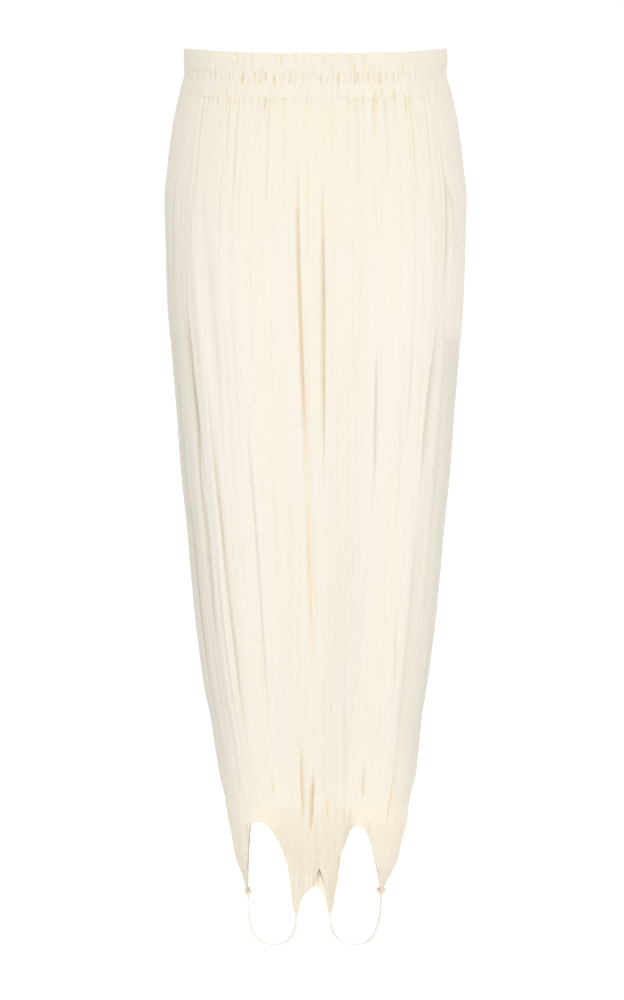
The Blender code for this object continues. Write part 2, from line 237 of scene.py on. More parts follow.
CREASES = {
    "front": creases(
        (75, 805, -86, -52, 23, 34, 21, 0),
        (79, 529, -86, -69, -36, 12, 24, 5),
        (506, 748, -38, -28, -3, 12, 16, 5),
        (132, 598, 16, 28, 36, 48, 10, 0),
        (105, 535, 25, 37, 38, 14, 36, 4),
        (109, 552, -22, -17, -8, 50, -14, 0),
        (-60, 251, -247, -230, -225, 16, 10, 4),
        (103, 273, -46, -43, -39, 18, 8, 0),
        (-43, 223, 212, 195, 183, 16, 10, -4),
        (20, 120, 291, 285, 278, 13, 12, 0),
        (92, 455, 117, 102, 106, 70, -13, 0),
        (271, 523, -648, -633, -587, 51, 45, 5),
        (506, 912, -599, -616, -558, 59, 17, 4),
        (321, 895, -549, -506, -462, 12, 16, -7),
        (164, 478, -528, -489, -465, 68, 19, 0),
        (364, 868, -358, -317, -311, 14, 10, 4),
        (404, 764, -149, -157, -193, 60, -11, 0),
        (529, 877, -549, -547, -504, 18, 10, 4),
        (546, 870, -669, -662, -639, 34, 11, 4),
        (81, 893, -640, -540, -577, 70, -18, 0),
        (800, 915, -97, -97, -98, 16, 26, 0),
        (833, 926, -11, -23, -43, 13, 34, 5),
        (863, 912, 74, 89, 101, 12, 13, 0),
        (730, 903, 171, 191, 218, 34, 12, 0),
        (828, 883, 335, 351, 368, 12, 18, 0),
        (834, 913, 530, 560, 543, 12, 26, -5),
        (753, 781, 91, 93, 94, 13, 10, 0),
        (330, 535, 286, 296, 304, 14, 14, 4),
        (307, 478, 462, 461, 456, 14, 8, -4),
        (87, 314, 633, 651, 618, 28, 34, -5),
        (140, 236, 624, 697, 675, 24, 26, -5),
        (300, 535, 621, 577, 564, 43, 41, -5),
        (506, 931, 556, 575, 597, 85, 32, -4),
        (632, 773, 461, 483, 516, 13, 8, 0),
        (299, 894, 707, 736, 747, 60, -17, 0),
        (495, 875, 486, 540, 545, 60, -14, 0),
        (-55, 243, -632, -589, -607, 18, 12, 3),
        (-15, 177, -457, -435, -418, 14, 9, 0),
        (-32, 205, -409, -386, -379, 14, 12, 4),
        (-25, 194, -159, -151, -143, 14, 9, 0),
        (-15, 177, 75, 72, 69, 14, 9, 0),
        (-12, 172, 168, 156, 146, 14, 9, 0),
        (-29, 200, 355, 341, 332, 14, 9, -3),
        (-32, 205, 485, 476, 476, 15, 12, -4),
        (-38, 215, 584, 570, 566, 15, 9, -4),
        (160, 700, -860, -830, -800, 68, 31, 4),
        (420, 890, -760, -770, -730, 34, 19, -4),
        (230, 640, 850, 840, 860, 68, 30, -4),
        (480, 900, 830, 840, 800, 38, 19, 4),
        (300, 650, -690, -635, -650, 30, 34, 3),
        (500, 720, -605, -625, -635, 40, 28, 0),
        (330, 760, -800, -780, -770, 30, 30, 0),
        (-109, 330, -800, -850, -860, 24, 17, 0),
        (100, 360, -720, -755, -760, 22, 22, 3),
        (90, 300, 730, 770, 780, 24, 20, -3),
        (840, 875, -320, -320, -320, 11, 10, 0),
        (896, 918, -30, -28, -24, 13, 4, 0),
        (880, 908, 268, 268, 266, 12, 10, 0),
        (878, 906, 222, 220, 216, 12, 10, 0),
        (900, 960, -190, -180, -165, 13, 4, 0),
        (918, 975, -135, -128, -120, 13, 5, 3),
        (905, 990, -85, -80, -90, 14, 5, 0),
        (925, 985, -45, -40, -38, 12, 4, 0),
        (900, 945, 55, 50, 45, 13, 5, 0),
        (915, 985, 110, 105, 95, 13, 5, -3),
        (905, 970, 155, 150, 140, 13, 5, 0),
        (925, 1010, 192, 172, 150, 11, 30, 0),
        (850, 985, -930, -930, -930, 16, 20, 3),
        (830, 980, -850, -855, -860, 18, 22, -3),
        (865, 985, -775, -780, -790, 14, 18, 3),
        (880, 975, -700, -705, -715, 13, 14, 0),
        (845, 985, 920, 925, 930, 18, 22, 3),
        (825, 980, 840, 845, 850, 16, 20, -3),
        (870, 985, 745, 755, 765, 14, 20, 3),
        (855, 960, 670, 675, 680, 13, 14, 0),
    ),
    "back": creases(
        (310, 660, 700, 640, 650, 30, 32, -3),
        (-121, 350, 790, 840, 850, 24, 17, 0),
        (350, 740, -790, -770, -760, 30, 28, 0),
        (845, 985, -900, -905, -910, 18, 22, 3),
        (860, 980, -780, -785, -790, 15, 18, 0),
        (840, 985, 890, 895, 900, 17, 20, -3),
        (865, 975, 760, 765, 775, 15, 20, 0),
        (900, 985, -120, -110, -105, 14, 9, 0),
        (905, 980, 70, 62, 60, 14, 9, 0),
        (910, 970, 150, 140, 130, 13, 8, 0),
        (72, 790, 60, 40, -20, 47, 19, 0),
        (80, 480, 62, 50, 40, 12, 24, -5),
        (150, 560, -50, -60, -48, 43, 33, 5),
        (-54, 240, 230, 220, 215, 16, 10, 4),
        (-35, 210, -205, -200, -190, 16, 10, 4),
        (85, 330, -600, -650, -610, 34, 34, 5),
        (290, 540, -620, -590, -560, 51, 41, 5),
        (500, 920, -560, -575, -590, 68, 17, 4),
        (270, 530, 650, 630, 580, 51, 43, -5),
        (500, 905, 600, 610, 560, 59, 17, -4),
        (310, 880, 540, 500, 450, 14, 15, 7),
        (360, 850, 350, 320, 300, 14, 10, -4),
        (340, 620, -300, -310, -320, 14, 8, 4),
        (160, 460, 500, 480, 460, 68, 19, 0),
        (90, 450, -120, -110, -100, 70, -13, 0),
        (400, 760, 150, 160, 190, 60, -11, 0),
        (780, 900, 100, 95, 90, 14, 22, 0),
        (820, 905, 0, 10, 30, 12, 21, -5),
        (740, 895, -180, -200, -220, 34, 13, 0),
        (835, 910, -520, -550, -540, 13, 22, 5),
        (150, 680, 850, 830, 800, 68, 31, -4),
        (220, 660, -860, -840, -850, 68, 30, 4),
        (450, 900, -740, -760, -740, 34, 19, 4),
    ),
}
CREASE_TIP = 0.38  # share of a crease's length over which it fades in and out
TIP_NARROWS = 0.6  # share of its width that a crease loses towards its tips
BULGE = 0.20  # how far the cloth swells beside a crease, as a share of its depth
BULGE_AT = 2.1  # half widths from the middle of the crease
SHARP = 1.45  # exponent of a trough's profile: 2 is a soft bell
FOLD_STEEP = 1.7  # a trough this many times as deep as its half width takes the whole painted shade of the folds

# Puckers at the front's waist seam and dashes of its stitched row, as shares of the way to the
# side seam. The back's lie a little beside them.
PUCKERS = (
    -0.628, -0.563, -0.507, -0.453, -0.412, -0.361, -0.321, -0.286, -0.252, -0.208, -0.162,
    -0.108, -0.088, -0.043, -0.023, 0.029, 0.077, 0.127, 0.160, 0.185, 0.236, 0.290, 0.303,
    0.349, 0.401, 0.457, 0.493, 0.556, 0.619,
)
SIDE_PUCKERS = (0.67, 0.71, 0.76, 0.80, 0.85, 0.90, 0.95)
DASHES = (
    -0.761, -0.688, -0.633, -0.580, -0.553, -0.518, -0.485, -0.463, -0.440, -0.411, -0.384,
    -0.354, -0.320, -0.289, -0.261, -0.214, -0.190, -0.169, -0.136, -0.105, -0.069,
    -0.034, 0.002, 0.028, 0.060, 0.089, 0.119, 0.159, 0.185, 0.205, 0.220, 0.252, 0.274,
    0.304, 0.330, 0.340, 0.372, 0.413, 0.444, 0.473, 0.510, 0.549, 0.600, 0.658,
)
SIDE_DASHES = (0.70, 0.74, 0.79, 0.83, 0.87, 0.92, 0.96)
BACK_SHIFT = 0.012
SEED = 11  # of every random draw

# Gathers below the waist seam: drawn at random from these lengths, half widths and depths
GATHER_LENGTHS = (0.03, 0.06, 0.10, 0.16, 0.26)
GATHER_STRETCH = (0.8, 1.2)
GATHER_TOP = 0.050
GATHER_BOTTOM = 0.060
GATHER_LEAD = 0.6  # share of its length by which a gather starts above the seam, to be full there
GATHER_DRIFT = 0.016
GATHER_HALF_WIDTH = (0.0009, 0.0018)
GATHER_DEPTH = (0.0002, 0.0006)
GATHER_LEAN = 0.4
BETWEEN_SHARE = 0.7  # depth of the gathers between the puckers
PUCKER_RUN = (0.046, 0.055)  # a short pucker starts here and reaches below the seam
PUCKER_REACH = (0.007, 0.020)
PUCKER_HALF_WIDTH = (0.0008, 0.0011)
PUCKER_DEPTHS = (0.0004, 0.0009, 0.0015)

# Long, narrow folds and soft, wide ones, spread over each face: how many, how far towards the
# side seams, the ranges they are drawn from, the share of its drift that a fold has halfway
# down, and whether it bends. share holds a, b and c of a + b * place ** 2 + c * place ** 4, by
# which folds are deeper towards the sides.
Spread = collections.namedtuple(
    "Spread", "count reach start length drift halfway bends half_width depth share lean"
)
SPREADS = (
    Spread(64, 0.97, (0.04, 0.42), (0.25, 0.55), 0.03, 0.5, False, (0.0010, 0.0026),
           (0.0002, 0.0008), (0.35, 0.3, 2.0), 0.5),
    Spread(14, 0.95, (0.06, 0.50), (0.25, 0.45), 0.03, 1.0, True, (0.0040, 0.0080),
           (0.0004, 0.0010), (0.7, 0.9, 0.0), 0.3),
)
MOST_BEND = 2.0  # a bending fold's lower end lies up to this many drifts aside

# Waistband
BAND_COLUMNS = 1600
BAND_WALL = 0.003
BAND_OUTER_ROWS = 40
BAND_END_ROWS = 5
BAND_INNER_ROWS = 8
BAND_CORNER = 0.0005  # roundness of its lower edge
BandRing = collections.namedtuple("BandRing", "down out")
BAND_RINGS = table(
    BandRing, TENTHS_OF_MM,
    (0, -2), (100, 3), (200, -1), (260, -11), (340, -6), (430, 3), (500, 1), (550, -6),
)
# Its stitched dashes, its puckers and its fine wrinkles: the ranges they are drawn from, how
# soon they fade at their ends, and the share of their depth that takes the folds' painted shade
Trough = collections.namedtuple("Trough", "half_width depth tip coloured")
DASH = Trough((0.0006, 0.0009), (0.0007, 0.0018), 0.3, 1.0)
DASH_ROW = (0.0215, 0.0385)
DASH_STARTS = (-0.002, 0.003)
DASH_ENDS = (-0.003, 0.002)
PUCKER = Trough((0.0007, 0.0011), (0.0004, 0.0016), 0.4, 1.0)
PUCKER_TOP = 0.047
PUCKER_TOP_VARIES = 0.004
PUCKER_END = 0.062
WRINKLE = Trough((0.0007, 0.0014), (-0.0005, 0.0013), 0.4, 0.8)
WRINKLES = 340  # on each face
WRINKLE_STARTS = (-0.012, 0.040)
WRINKLE_LENGTHS = (0.012, 0.034)
FULLY_COLOURED = 0.0022  # depth of a trough that takes the whole painted shade
INNER_SHARE = 0.35  # share of the outer relief that the inner side keeps
EDGE_WAVE = 0.0006  # its lower edge sags and lifts this far, in waves of these many half turns
EDGE_TURNS = (22, 36, 58)
EDGE_WAVE_FROM = 0.044
EDGE_WAVE_RUN = 0.011

# Straps and tacks
STRAP_WIDE = 0.006
STRAP_THICK = 0.0012
STRAP_FULLNESS = 2.5
STRAP_STEPS = 180
STRAP_EDGE_STEPS = 4
STRAP_LOOK_AHEAD = 0.01  # share of the loop over which its direction is measured
SEAM_GAP = 0.0003
Turn = collections.namedtuple("Turn", "share degrees")
STRAP_TURNS = (Turn(0.0, 12), Turn(0.25, 50), Turn(0.5, 22), Turn(0.75, 30), Turn(1.0, 58))
TACK_AROUND = 72
TACK_ROWS = 22
TACK_RISES = 0.0055
TACK_BROADER = {"right": 1.0, "left": 1.3}
TACK_DOWN = 0.98  # its place on the knit, low enough to take the lower colour's painted light
TACK_STEM = (0.45, 0.25)  # radii at the top and bottom, as shares of the solid's
FRILL_OUT = 0.62
FRILL_RUN = (0.10, 0.82)
FRILL_SHARP = 1.5
LOBES_OUT = 0.40
# Lobes round the frill, their heights, and how far they twist down it, in radians
Lobes = collections.namedtuple("Lobes", "count high twist")
LOBES = (Lobes(6, 0.55, 2), Lobes(11, 0.30, 0), Lobes(3, 0.25, 0))
RAGGED = ((6, 0.0011, 0), (9, 0.0007, 3))  # waves round, heights, and which turn they start at
FRILL_SHADE = 0.10  # how much of the folds' painted shade its hollows take

# The jersey's colour, painted shade and painted light: where each zone starts and where it is
# whole, in metres down from the waist or across from the centre seam
UPPER_ZONE = (0.30, 0.06)
LOWER_ZONE = (0.80, 0.93)
BAND_ZONE = (0.078, 0.050)
WAIST_ZONE = (0.22, 0.06)
HEM_ZONE = (0.74, 0.84)
CENTRE_ZONE = (0.055, 0.012)
SIDE_ZONE = (0.140, 0.205)
SIDE_BELOW = (0.10, 0.40)
LEFT_HALF = (0.0, 0.02)
BESIDE_BAG_DOWN = (0.38, 0.30)
BESIDE_BAG_ACROSS = (0.20, 0.255)
INSIDE_HEM = (0.86, 0.96)
UPPER_LIT = 0.5  # share of the light on the inner side above the hem
# Shares of its colours, painted shade and painted light, and the depths in a fold over which they
# come in
MOTTLE = (0.38, 0.62)
SIDE_SHARE = 0.35
SIDE_GAINS = 0.45
BAG_KEEPS = 0.8  # share of the sides' painted shade that the cloth beside the bag does without
BAG_SHOWS = 0.7
FINE_SHOWS = 0.03
LONG_SHOWS = 0.06
GLOW_FOLD = (0.04, 0.34)
SUNK_FOLD = (0.40, 1.0)
SUNK_SHOWS = 0.9
# Its noises, as repeats in a metre across and down, its relief and its roughness
FINE_LINES = (300.0, 5.0, 1.0)
FINE_FROM = 0.90
LONG_LINES = (130.0, 1.5, 1.0)
LONG_FROM = 0.93
DRAGS = (85.0, 1.8, 1.0)
MOTTLES = (42.0, 1.8, 1.0)
DRAGS_HIGH = 1.4
FINE_DEEP = 0.14
LONG_DEEP = 0.22
KNIT_HIGH = 0.05
JERSEY_ROUGH = 0.86
DRAGS_ROUGH = 0.08
SHEEN = 0.08
# The elastic's ribs, threads and specks
RIB = 0.0012
THREAD = 0.0009
SPECKS = (900.0, 900.0, 900.0)
ELASTIC_RELIEF = 0.00015
SPECK_DARKENS = 0.94

# Camera and light
CAMERA_PLACE = (-0.0041, -4.0, -0.529)
CAMERA_LENS = 123.0
CAMERA_SENSOR = 36.0
CAMERA_SEES = 100.0
FLOOR_BELOW = 0.004
FLOOR_SIZE = 30.0
Softbox = collections.namedtuple("Softbox", "place size colour")
SOFTBOXES = {
    "front": Softbox((0.7, -4.6, 0.4), 2.2, (1.0, 0.985, 0.96)),
    "back": Softbox((-0.4, 4.6, 0.4), 2.2, (1.0, 0.985, 0.96)),
    "top": Softbox((0.0, -0.5, 2.6), 3.0, (1.0, 1.0, 1.0)),
}


def smooth(places, values, at):
    """A smooth curve through a table's column, that never passes its rows' values."""
    places, values = np.array(places), np.array(values)
    at = np.clip(at, places[0], places[-1])
    rates = np.diff(values) / np.diff(places)
    before, after = rates[:-1], rates[1:]
    level = before * after <= 0
    means = 2 * before * after / np.where(level, 1, before + after)
    slopes = np.concatenate([[0], np.where(level, 0, means), [0]])
    i = np.clip(np.searchsorted(places, at, side="right") - 1, 0, len(places) - 2)
    span = places[i + 1] - places[i]
    share = (at - places[i]) / span
    left = values[i] + share * span * slopes[i]
    right = values[i + 1] - (1 - share) * span * slopes[i + 1]
    ease = share * share * (3 - 2 * share)
    return left * (1 - ease) + right * ease


def column(rows, name):
    return [getattr(row, name) for row in rows]


def curve(rows, value, at, place="down"):
    """A smooth curve through one column of a table, along another."""
    return smooth(column(rows, place), column(rows, value), at)


def of_leg(table, place):
    """The value of the right or the left leg, by the side a place is on."""
    return np.where(place < 0, table["right"], table["left"])


def both_sides(shares):
    return [side * share for share in shares for side in (-1, 1)]


def step(share):
    """Eases from 0 to 1."""
    share = np.clip(share, 0.0, 1.0)
    return share * share * (3 - 2 * share)


def rounded(angle, roundness):
    """A point of a superellipse that reaches 1 each way."""
    across, along = np.cos(angle), np.sin(angle)
    far = (np.abs(across) ** roundness + np.abs(along) ** roundness) ** (-1 / roundness)
    return across * far, along * far


@functools.lru_cache(maxsize=None)
def half_lines(face):
    """Half of the body's line at every level, at even shares from the side to the centre.

    Returns the levels, the line's length at each, and a grid of places and directions.
    """
    levels = np.arange(LEVELS[0].down, ARCH_SECTION + LEVEL_STEP / 2, LEVEL_STEP)
    reach, deep, flat, dip = (
        curve(LEVELS, name, levels) for name in ("half_width", face, "flat", "dip")
    )
    x, y = rounded(np.linspace(0, math.pi / 2, LINE_SAMPLES // 2), SIDE_ROUNDNESS)
    to_middle = np.linspace(0, 1, LINE_SAMPLES // 2)[1:]
    sink = (1 - np.cos(math.pi * to_middle)) / 2
    lengths, grid = [], []
    for k in range(len(levels)):
        xs = np.append(flat[k] + (reach[k] - flat[k]) * x, flat[k] * (1 - to_middle))
        ys = np.append(deep[k] * y, deep[k] - dip[k] * sink)
        along = np.append(0, np.cumsum(np.hypot(np.diff(xs), np.diff(ys))))
        even = np.linspace(0, along[-1], LINE_SAMPLES)
        xs, ys = np.interp(even, along, xs), np.interp(even, along, ys)
        out_x, out_y = np.gradient(ys, even), -np.gradient(xs, even)
        size = np.hypot(out_x, out_y)
        lengths.append(along[-1])
        grid.append(np.stack([xs, ys, out_x / size, out_y / size], axis=1))
    return levels, np.array(lengths), np.array(grid)


def half_length(face, down):
    levels, lengths, _ = half_lines(face)
    return np.interp(down, levels, lengths)


def on_line(face, share, down):
    """Across, out, and the outward direction, at a share of the way from the side seam."""
    levels, _, grid = half_lines(face)
    share, down = np.broadcast_arrays(share, down)
    row = (np.clip(down, levels[0], levels[-1]) - levels[0]) / LEVEL_STEP
    place = np.clip(share, 0, 1) * (LINE_SAMPLES - 1)
    i = np.minimum(row.astype(int), len(levels) - 2)
    j = np.minimum(place.astype(int), LINE_SAMPLES - 2)
    a, b = (row - i)[..., None], (place - j)[..., None]
    upper = grid[i, j] * (1 - b) + grid[i, j + 1] * b
    lower = grid[i + 1, j] * (1 - b) + grid[i + 1, j + 1] * b
    found = upper * (1 - a) + lower * a
    return [found[..., n] for n in range(4)]


def mouth_gap(face, down):
    """How far the front's edge stands away from the side seam, at the pocket."""
    if face == "back":
        return 0.0 * down
    run = np.clip((down - MOUTH[0]) / (MOUTH[1] - MOUTH[0]), 0, 1)
    return MOUTH_OPENS * np.sin(math.pi * run)


def on_body(face, place, down):
    """Uncreased points and outward directions at places from -1 to 1, side seam to side seam."""
    length = half_length(face, down)
    gap = mouth_gap(face, down)
    share = (gap + (1 - np.abs(place)) * (length - gap)) / length
    x, y, out_x, out_y = on_line(face, share, down)
    side = np.where(place < 0, -1.0, 1.0)
    to_back = 1.0 if face == "back" else -1.0
    point = np.stack([side * x, to_back * y, 0 * x], axis=-1)
    outward = np.stack([side * out_x, to_back * out_y, 0 * x], axis=-1)
    return point, outward / np.linalg.norm(outward, axis=-1)[..., None]


def edge_down(face, place):
    """How far below the waist the lower edge lies."""
    point, _ = on_body(face, place, np.full_like(place, ARCH_SECTION))
    x = point[..., 0]
    downs = {leg: curve(HEM[leg], "down", np.abs(x), "across") for leg in LEGS}
    down = of_leg(downs, place)
    if face == "front":
        down = down - np.interp(x, column(FRONT_LIFTS, "across"), column(FRONT_LIFTS, "up"))
    return down


def closed_share(place, point, down):
    """How far the front and the back are closed onto each other, between the feet."""
    across = np.abs(point[..., 0])
    start, end = CLOSES
    inner = (CLOSES_NOT_BEYOND - across) / (CLOSES_NOT_BEYOND - CLOSES_FULLY_WITHIN)
    to_top = (of_leg(ARCH_TOP, place) - across) / CLOSING_TURNS_OVER
    return step((down - start) / (end - start)) * step(inner) * step(to_top)


def drawn_in(face, place, point, down):
    """Draws the outer cloth in to its point, and closes the inner cloth onto the back."""
    x = point[..., 0]
    outer = step((np.abs(x) - of_leg(ARCH_TOP, place)) / TURNS_OVER)
    share = curve(DRAWN_IN, "share", down) * outer
    moved = point.copy()
    for axis in (0, 1):
        to = of_leg({leg: OUTER_POINT[leg][axis] for leg in LEGS}, place)
        moved[..., axis] += (to - point[..., axis]) * share
    near, full = of_leg(SWELLS_BEYOND, place), of_leg(SWELLS_FULLY_FROM, place)
    far = step((np.abs(x) - near) / (full - near))
    swells = {leg: curve(SWELLS[leg], "out", down) for leg in LEGS}
    moved[..., 0] += np.sign(x) * far * of_leg(swells, place)
    closed = closed_share(place, point, down)
    lag = CLOSED_WAVES_RUN * (down - CLOSES[0])
    wave = sum(high * np.sin(2 * math.pi * (x / long + lag)) for high, long in CLOSED_WAVES)
    wave = wave * np.clip(1 - np.abs(x) / CLOSES_NOT_BEYOND, 0, 1)
    to = CLOSED_GAP * (1 if face == "back" else -1) + wave
    moved[..., 1] += (to - point[..., 1]) * closed
    return moved, closed


def tilt(down, y):
    """How far the tilted waist lifts the cloth."""
    return (TILT_SLOPE * y + TILT_BOW * y * y) * (1 - step(down / TILT_FADES_AT))


def crease_profile(off, depth, lean):
    """Height of a crease across it, in half widths from its middle, and its inmost part."""
    off = off * (1 + lean * np.sign(off))
    power = SHARP if depth > 0 else 2.0
    trough = np.exp(-(np.abs(off) ** power))
    swell = np.exp(-((np.abs(off) - BULGE_AT) ** 2))
    return -depth * (trough - BULGE * swell * (depth > 0)), trough * trough


def seeded_folds(face):
    """Gathers below the waist seam, and long and soft folds, uneven in length and depth."""
    chance = random.Random(f"{face} {SEED}")
    if face == "front":
        places = list(PUCKERS)
    else:
        places = [place + chance.uniform(-BACK_SHIFT, BACK_SHIFT) for place in PUCKERS]
    places += both_sides(SIDE_PUCKERS)
    between = [(a + b) / 2 for a, b in zip(sorted(places), sorted(places)[1:])]
    folds = []
    for place in places + between:
        full = 1.0 if place in places else BETWEEN_SHARE
        drift = chance.uniform(-GATHER_DRIFT, GATHER_DRIFT)
        long = chance.choice(GATHER_LENGTHS) * chance.uniform(*GATHER_STRETCH)
        folds.append(Crease(
            GATHER_TOP - GATHER_LEAD * long, GATHER_BOTTOM + long,
            place, place + drift / 2, place + drift,
            chance.uniform(*GATHER_HALF_WIDTH), full * chance.uniform(*GATHER_DEPTH),
            chance.uniform(-GATHER_LEAN, GATHER_LEAN),
        ))
        if place in places:
            folds.append(Crease(
                PUCKER_RUN[0], PUCKER_RUN[1] + chance.uniform(*PUCKER_REACH),
                place, place, place,
                chance.uniform(*PUCKER_HALF_WIDTH), chance.choice(PUCKER_DEPTHS), 0.0,
            ))
    for kind in SPREADS:
        a, b, c = kind.share
        for i in range(kind.count):
            place = -kind.reach + 2 * kind.reach * (i + chance.random()) / kind.count
            start = chance.uniform(*kind.start)
            drift = chance.uniform(-kind.drift, kind.drift)
            end = start + chance.uniform(*kind.length)
            bend = chance.uniform(0.0, MOST_BEND) if kind.bends else 1.0
            folds.append(Crease(
                start, end, place, place + drift * kind.halfway, place + drift * bend,
                chance.uniform(*kind.half_width),
                (a + b * place ** 2 + c * place ** 4) * chance.uniform(*kind.depth),
                chance.uniform(-kind.lean, kind.lean),
            ))
    return folds


def fold_heights(face, place, down, strength):
    """Heights of all the folds on one face, and how deep the cloth lies in a trough, which sets
    the folds' painted shade and light.
    """
    across = place * half_length(face, down)
    height = np.zeros_like(down)
    deep = np.zeros_like(down)
    for crease in CREASES[face] + seeded_folds(face):
        run = (down - crease.start) / (crease.end - crease.start)
        rows = np.flatnonzero(((run > 0) & (run < 1)).any(axis=1))
        if not len(rows):
            continue
        part = slice(rows[0], rows[-1] + 1)
        run = np.clip(run[part], 0, 1)
        bend = 4 * crease.middle - 2 * (crease.top + crease.bottom)
        at = crease.top + (crease.bottom - crease.top) * run + bend * run * (1 - run)
        at = at * half_length(face, down[part])
        fade = step(np.minimum(run, 1 - run) / CREASE_TIP)
        half_width = crease.half_width * (1 - TIP_NARROWS * (1 - fade))
        off = (across[part] - at) / half_width
        rise, inmost = crease_profile(off, crease.depth, crease.lean)
        height[part] += rise * fade * strength
        steep = max(crease.depth, 0.0) / crease.half_width / FOLD_STEEP
        deep[part] += inmost * fade * min(steep, 1.0)
    return height, np.clip(deep, 0, 1)


# Grids over a stretch of cloth: its points and normals, its place on the flat knit, how deep
# it lies in a fold, whether the pocket bag lies behind it, and its share of the way across
Cloth = collections.namedtuple("Cloth", "outer normal flat fold lining place")


def normals_of(points, outward):
    """Unit normals of a grid of points, on the side that outward points to."""
    along, down = np.gradient(points, axis=1), np.gradient(points, axis=0)
    normal = np.cross(along, down)
    size = np.linalg.norm(normal, axis=-1)[..., None]
    normal = np.where(size > SMALLEST, normal / np.maximum(size, SMALLEST), outward)
    flip = (normal * outward).sum(-1)[..., None] < 0
    return np.where(flip, -normal, normal)


@functools.lru_cache(maxsize=None)
def body_face(face, strength):
    """The whole front or back, from the wearer's right side seam to the left one."""
    columns = COLUMNS[face]
    place = np.linspace(-1, 1, 2 * columns + 1)[None, :]
    share = np.linspace(0, 1, BODY_ROWS)[:, None] ** BODY_ROWS_CROWD
    upper = PANEL_TOP + (ARCH_ROWS_FROM - PANEL_TOP) * share + 0 * place
    edge = edge_down(face, place)
    share = 1 - (1 - np.linspace(0, 1, HEM_ROWS + 1)[1:, None]) ** HEM_ROWS_CROWD
    lower = ARCH_ROWS_FROM + (edge - ARCH_ROWS_FROM) * share
    down = np.concatenate([upper, lower])
    place = np.broadcast_to(place, down.shape)

    point, outward = on_body(face, place, down)
    moved, closed = drawn_in(face, place, point, down)
    height, fold = fold_heights(face, place, down, strength)

    from_side = 1 - np.abs(place)
    lining = step((BAG_BOTTOM + BAG_EDGE / 2 - down) / BAG_EDGE)
    lining = lining * step((down - BAG_TOP) / BAG_FADES)
    lining = lining * step((BAG_SHARE - from_side) / BAG_FADES) * (face == "front")
    height = height + BAG_STANDS_OUT * lining
    seam = from_side * half_length(face, down) / SEAM_WIDE
    height = height - SEAM_DIP * np.exp(-seam * seam)
    height = height * (1 - CLOSED_FLATTENS * closed)

    slope = np.gradient(edge[0], place[0] * half_length(face, ARCH_SECTION))
    from_edge = (edge - down) / np.hypot(1, slope)
    height = height + HEM_BEAD * step((HEM_WIDE - from_edge) / HEM_EASES)
    height = height - TUCK * step((TUCK_ENDS - down) / TUCK_RUN)

    moved[..., 2] = tilt(down, moved[..., 1]) - down
    outer = moved + outward * height[..., None]
    flat = np.stack([place * CLOTH_HALF_WIDE, down, 0 * down], axis=-1)
    return Cloth(outer, normals_of(outer, outward), flat, fold, lining, place)


def grid_faces(rows, columns, wrap_rows=False, wrap_columns=False):
    """Quads of a grid of points, numbered row by row."""
    index = np.arange(rows * columns).reshape(rows, columns)
    if wrap_rows:
        index = np.vstack([index, index[:1]])
    if wrap_columns:
        index = np.hstack([index, index[:, :1]])
    corners = (index[:-1, :-1], index[:-1, 1:], index[1:, 1:], index[1:, :-1])
    return np.stack([c.ravel() for c in corners], axis=1)


def rim_faces(rows, columns):
    """Quads that join the edges of two grids of points, one numbered after the other."""
    index = np.arange(rows * columns).reshape(rows, columns)
    loop = np.concatenate([index[0, :-1], index[:-1, -1], index[-1, :0:-1], index[:0:-1, 0]])
    after, far = np.roll(loop, -1), rows * columns
    return np.stack([loop, loop + far, after + far, after], axis=1)


def new_mesh(name, points, faces, attributes, material):
    """A piece from numpy arrays, with its attributes and one material."""
    mesh = bpy.data.meshes.new(name)
    mesh.vertices.add(len(points))
    mesh.vertices.foreach_set("co", points.astype(np.float32).ravel())
    mesh.loops.add(faces.size)
    mesh.loops.foreach_set("vertex_index", faces.astype(np.int32).ravel())
    mesh.polygons.add(len(faces))
    starts = np.arange(0, faces.size, faces.shape[1], dtype=np.int32)
    mesh.polygons.foreach_set("loop_start", starts)
    mesh.update(calc_edges=True)
    mesh.validate()
    mesh.shade_smooth()
    for key, values in attributes.items():
        kind = "FLOAT_VECTOR" if values.ndim == 2 else "FLOAT"
        layer = mesh.attributes.new(key, kind, "POINT")
        layer.data.foreach_set("vector" if values.ndim == 2 else "value",
                               values.astype(np.float32).ravel())
    mesh.materials.append(material)
    obj = bpy.data.objects.new(name, mesh)
    bpy.context.scene.collection.objects.link(obj)
    return obj


def face_outwards(points, faces):
    """Turns closed faces round where they enclose a volume below 0."""
    corners = [points[faces[:, n]] for n in range(faces.shape[1])]
    volume = sum((corners[0] * np.cross(b, c)).sum() for b, c in zip(corners[1:], corners[2:]))
    return faces if volume > 0 else faces[:, ::-1]


def shell(name, cloth, wall, material):
    """A closed thin shell from a grid of cloth, shaded by the whole cloth's normals."""
    rows, columns = cloth.outer.shape[:2]
    outer = cloth.outer.reshape(-1, 3)
    normal = cloth.normal.reshape(-1, 3)
    points = np.concatenate([outer, outer - normal * wall])
    quads = grid_faces(rows, columns)
    rim = rim_faces(rows, columns)
    faces = np.concatenate([quads, quads[:, ::-1] + len(outer), rim])
    turned = face_outwards(points, faces)
    twice = {
        "cloth": np.tile(cloth.flat.reshape(-1, 3), (2, 1)),
        "fold": np.tile(cloth.fold.ravel(), 2),
        "lining": np.tile(cloth.lining.ravel(), 2),
        "inside": np.repeat([0.0, 1.0], len(outer)),
    }
    obj = new_mesh(name, points, turned, twice, material)
    normals = np.concatenate([normal, -normal])[turned]
    normals[-len(rim):] = 0
    obj.data.normals_split_custom_set(normals.reshape(-1, 3).tolist())
    return obj


def dress(obj, node):
    """Puts a piece in the frame: it stands for its solid and rides on the body."""
    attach(obj, BODY)
    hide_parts(node)


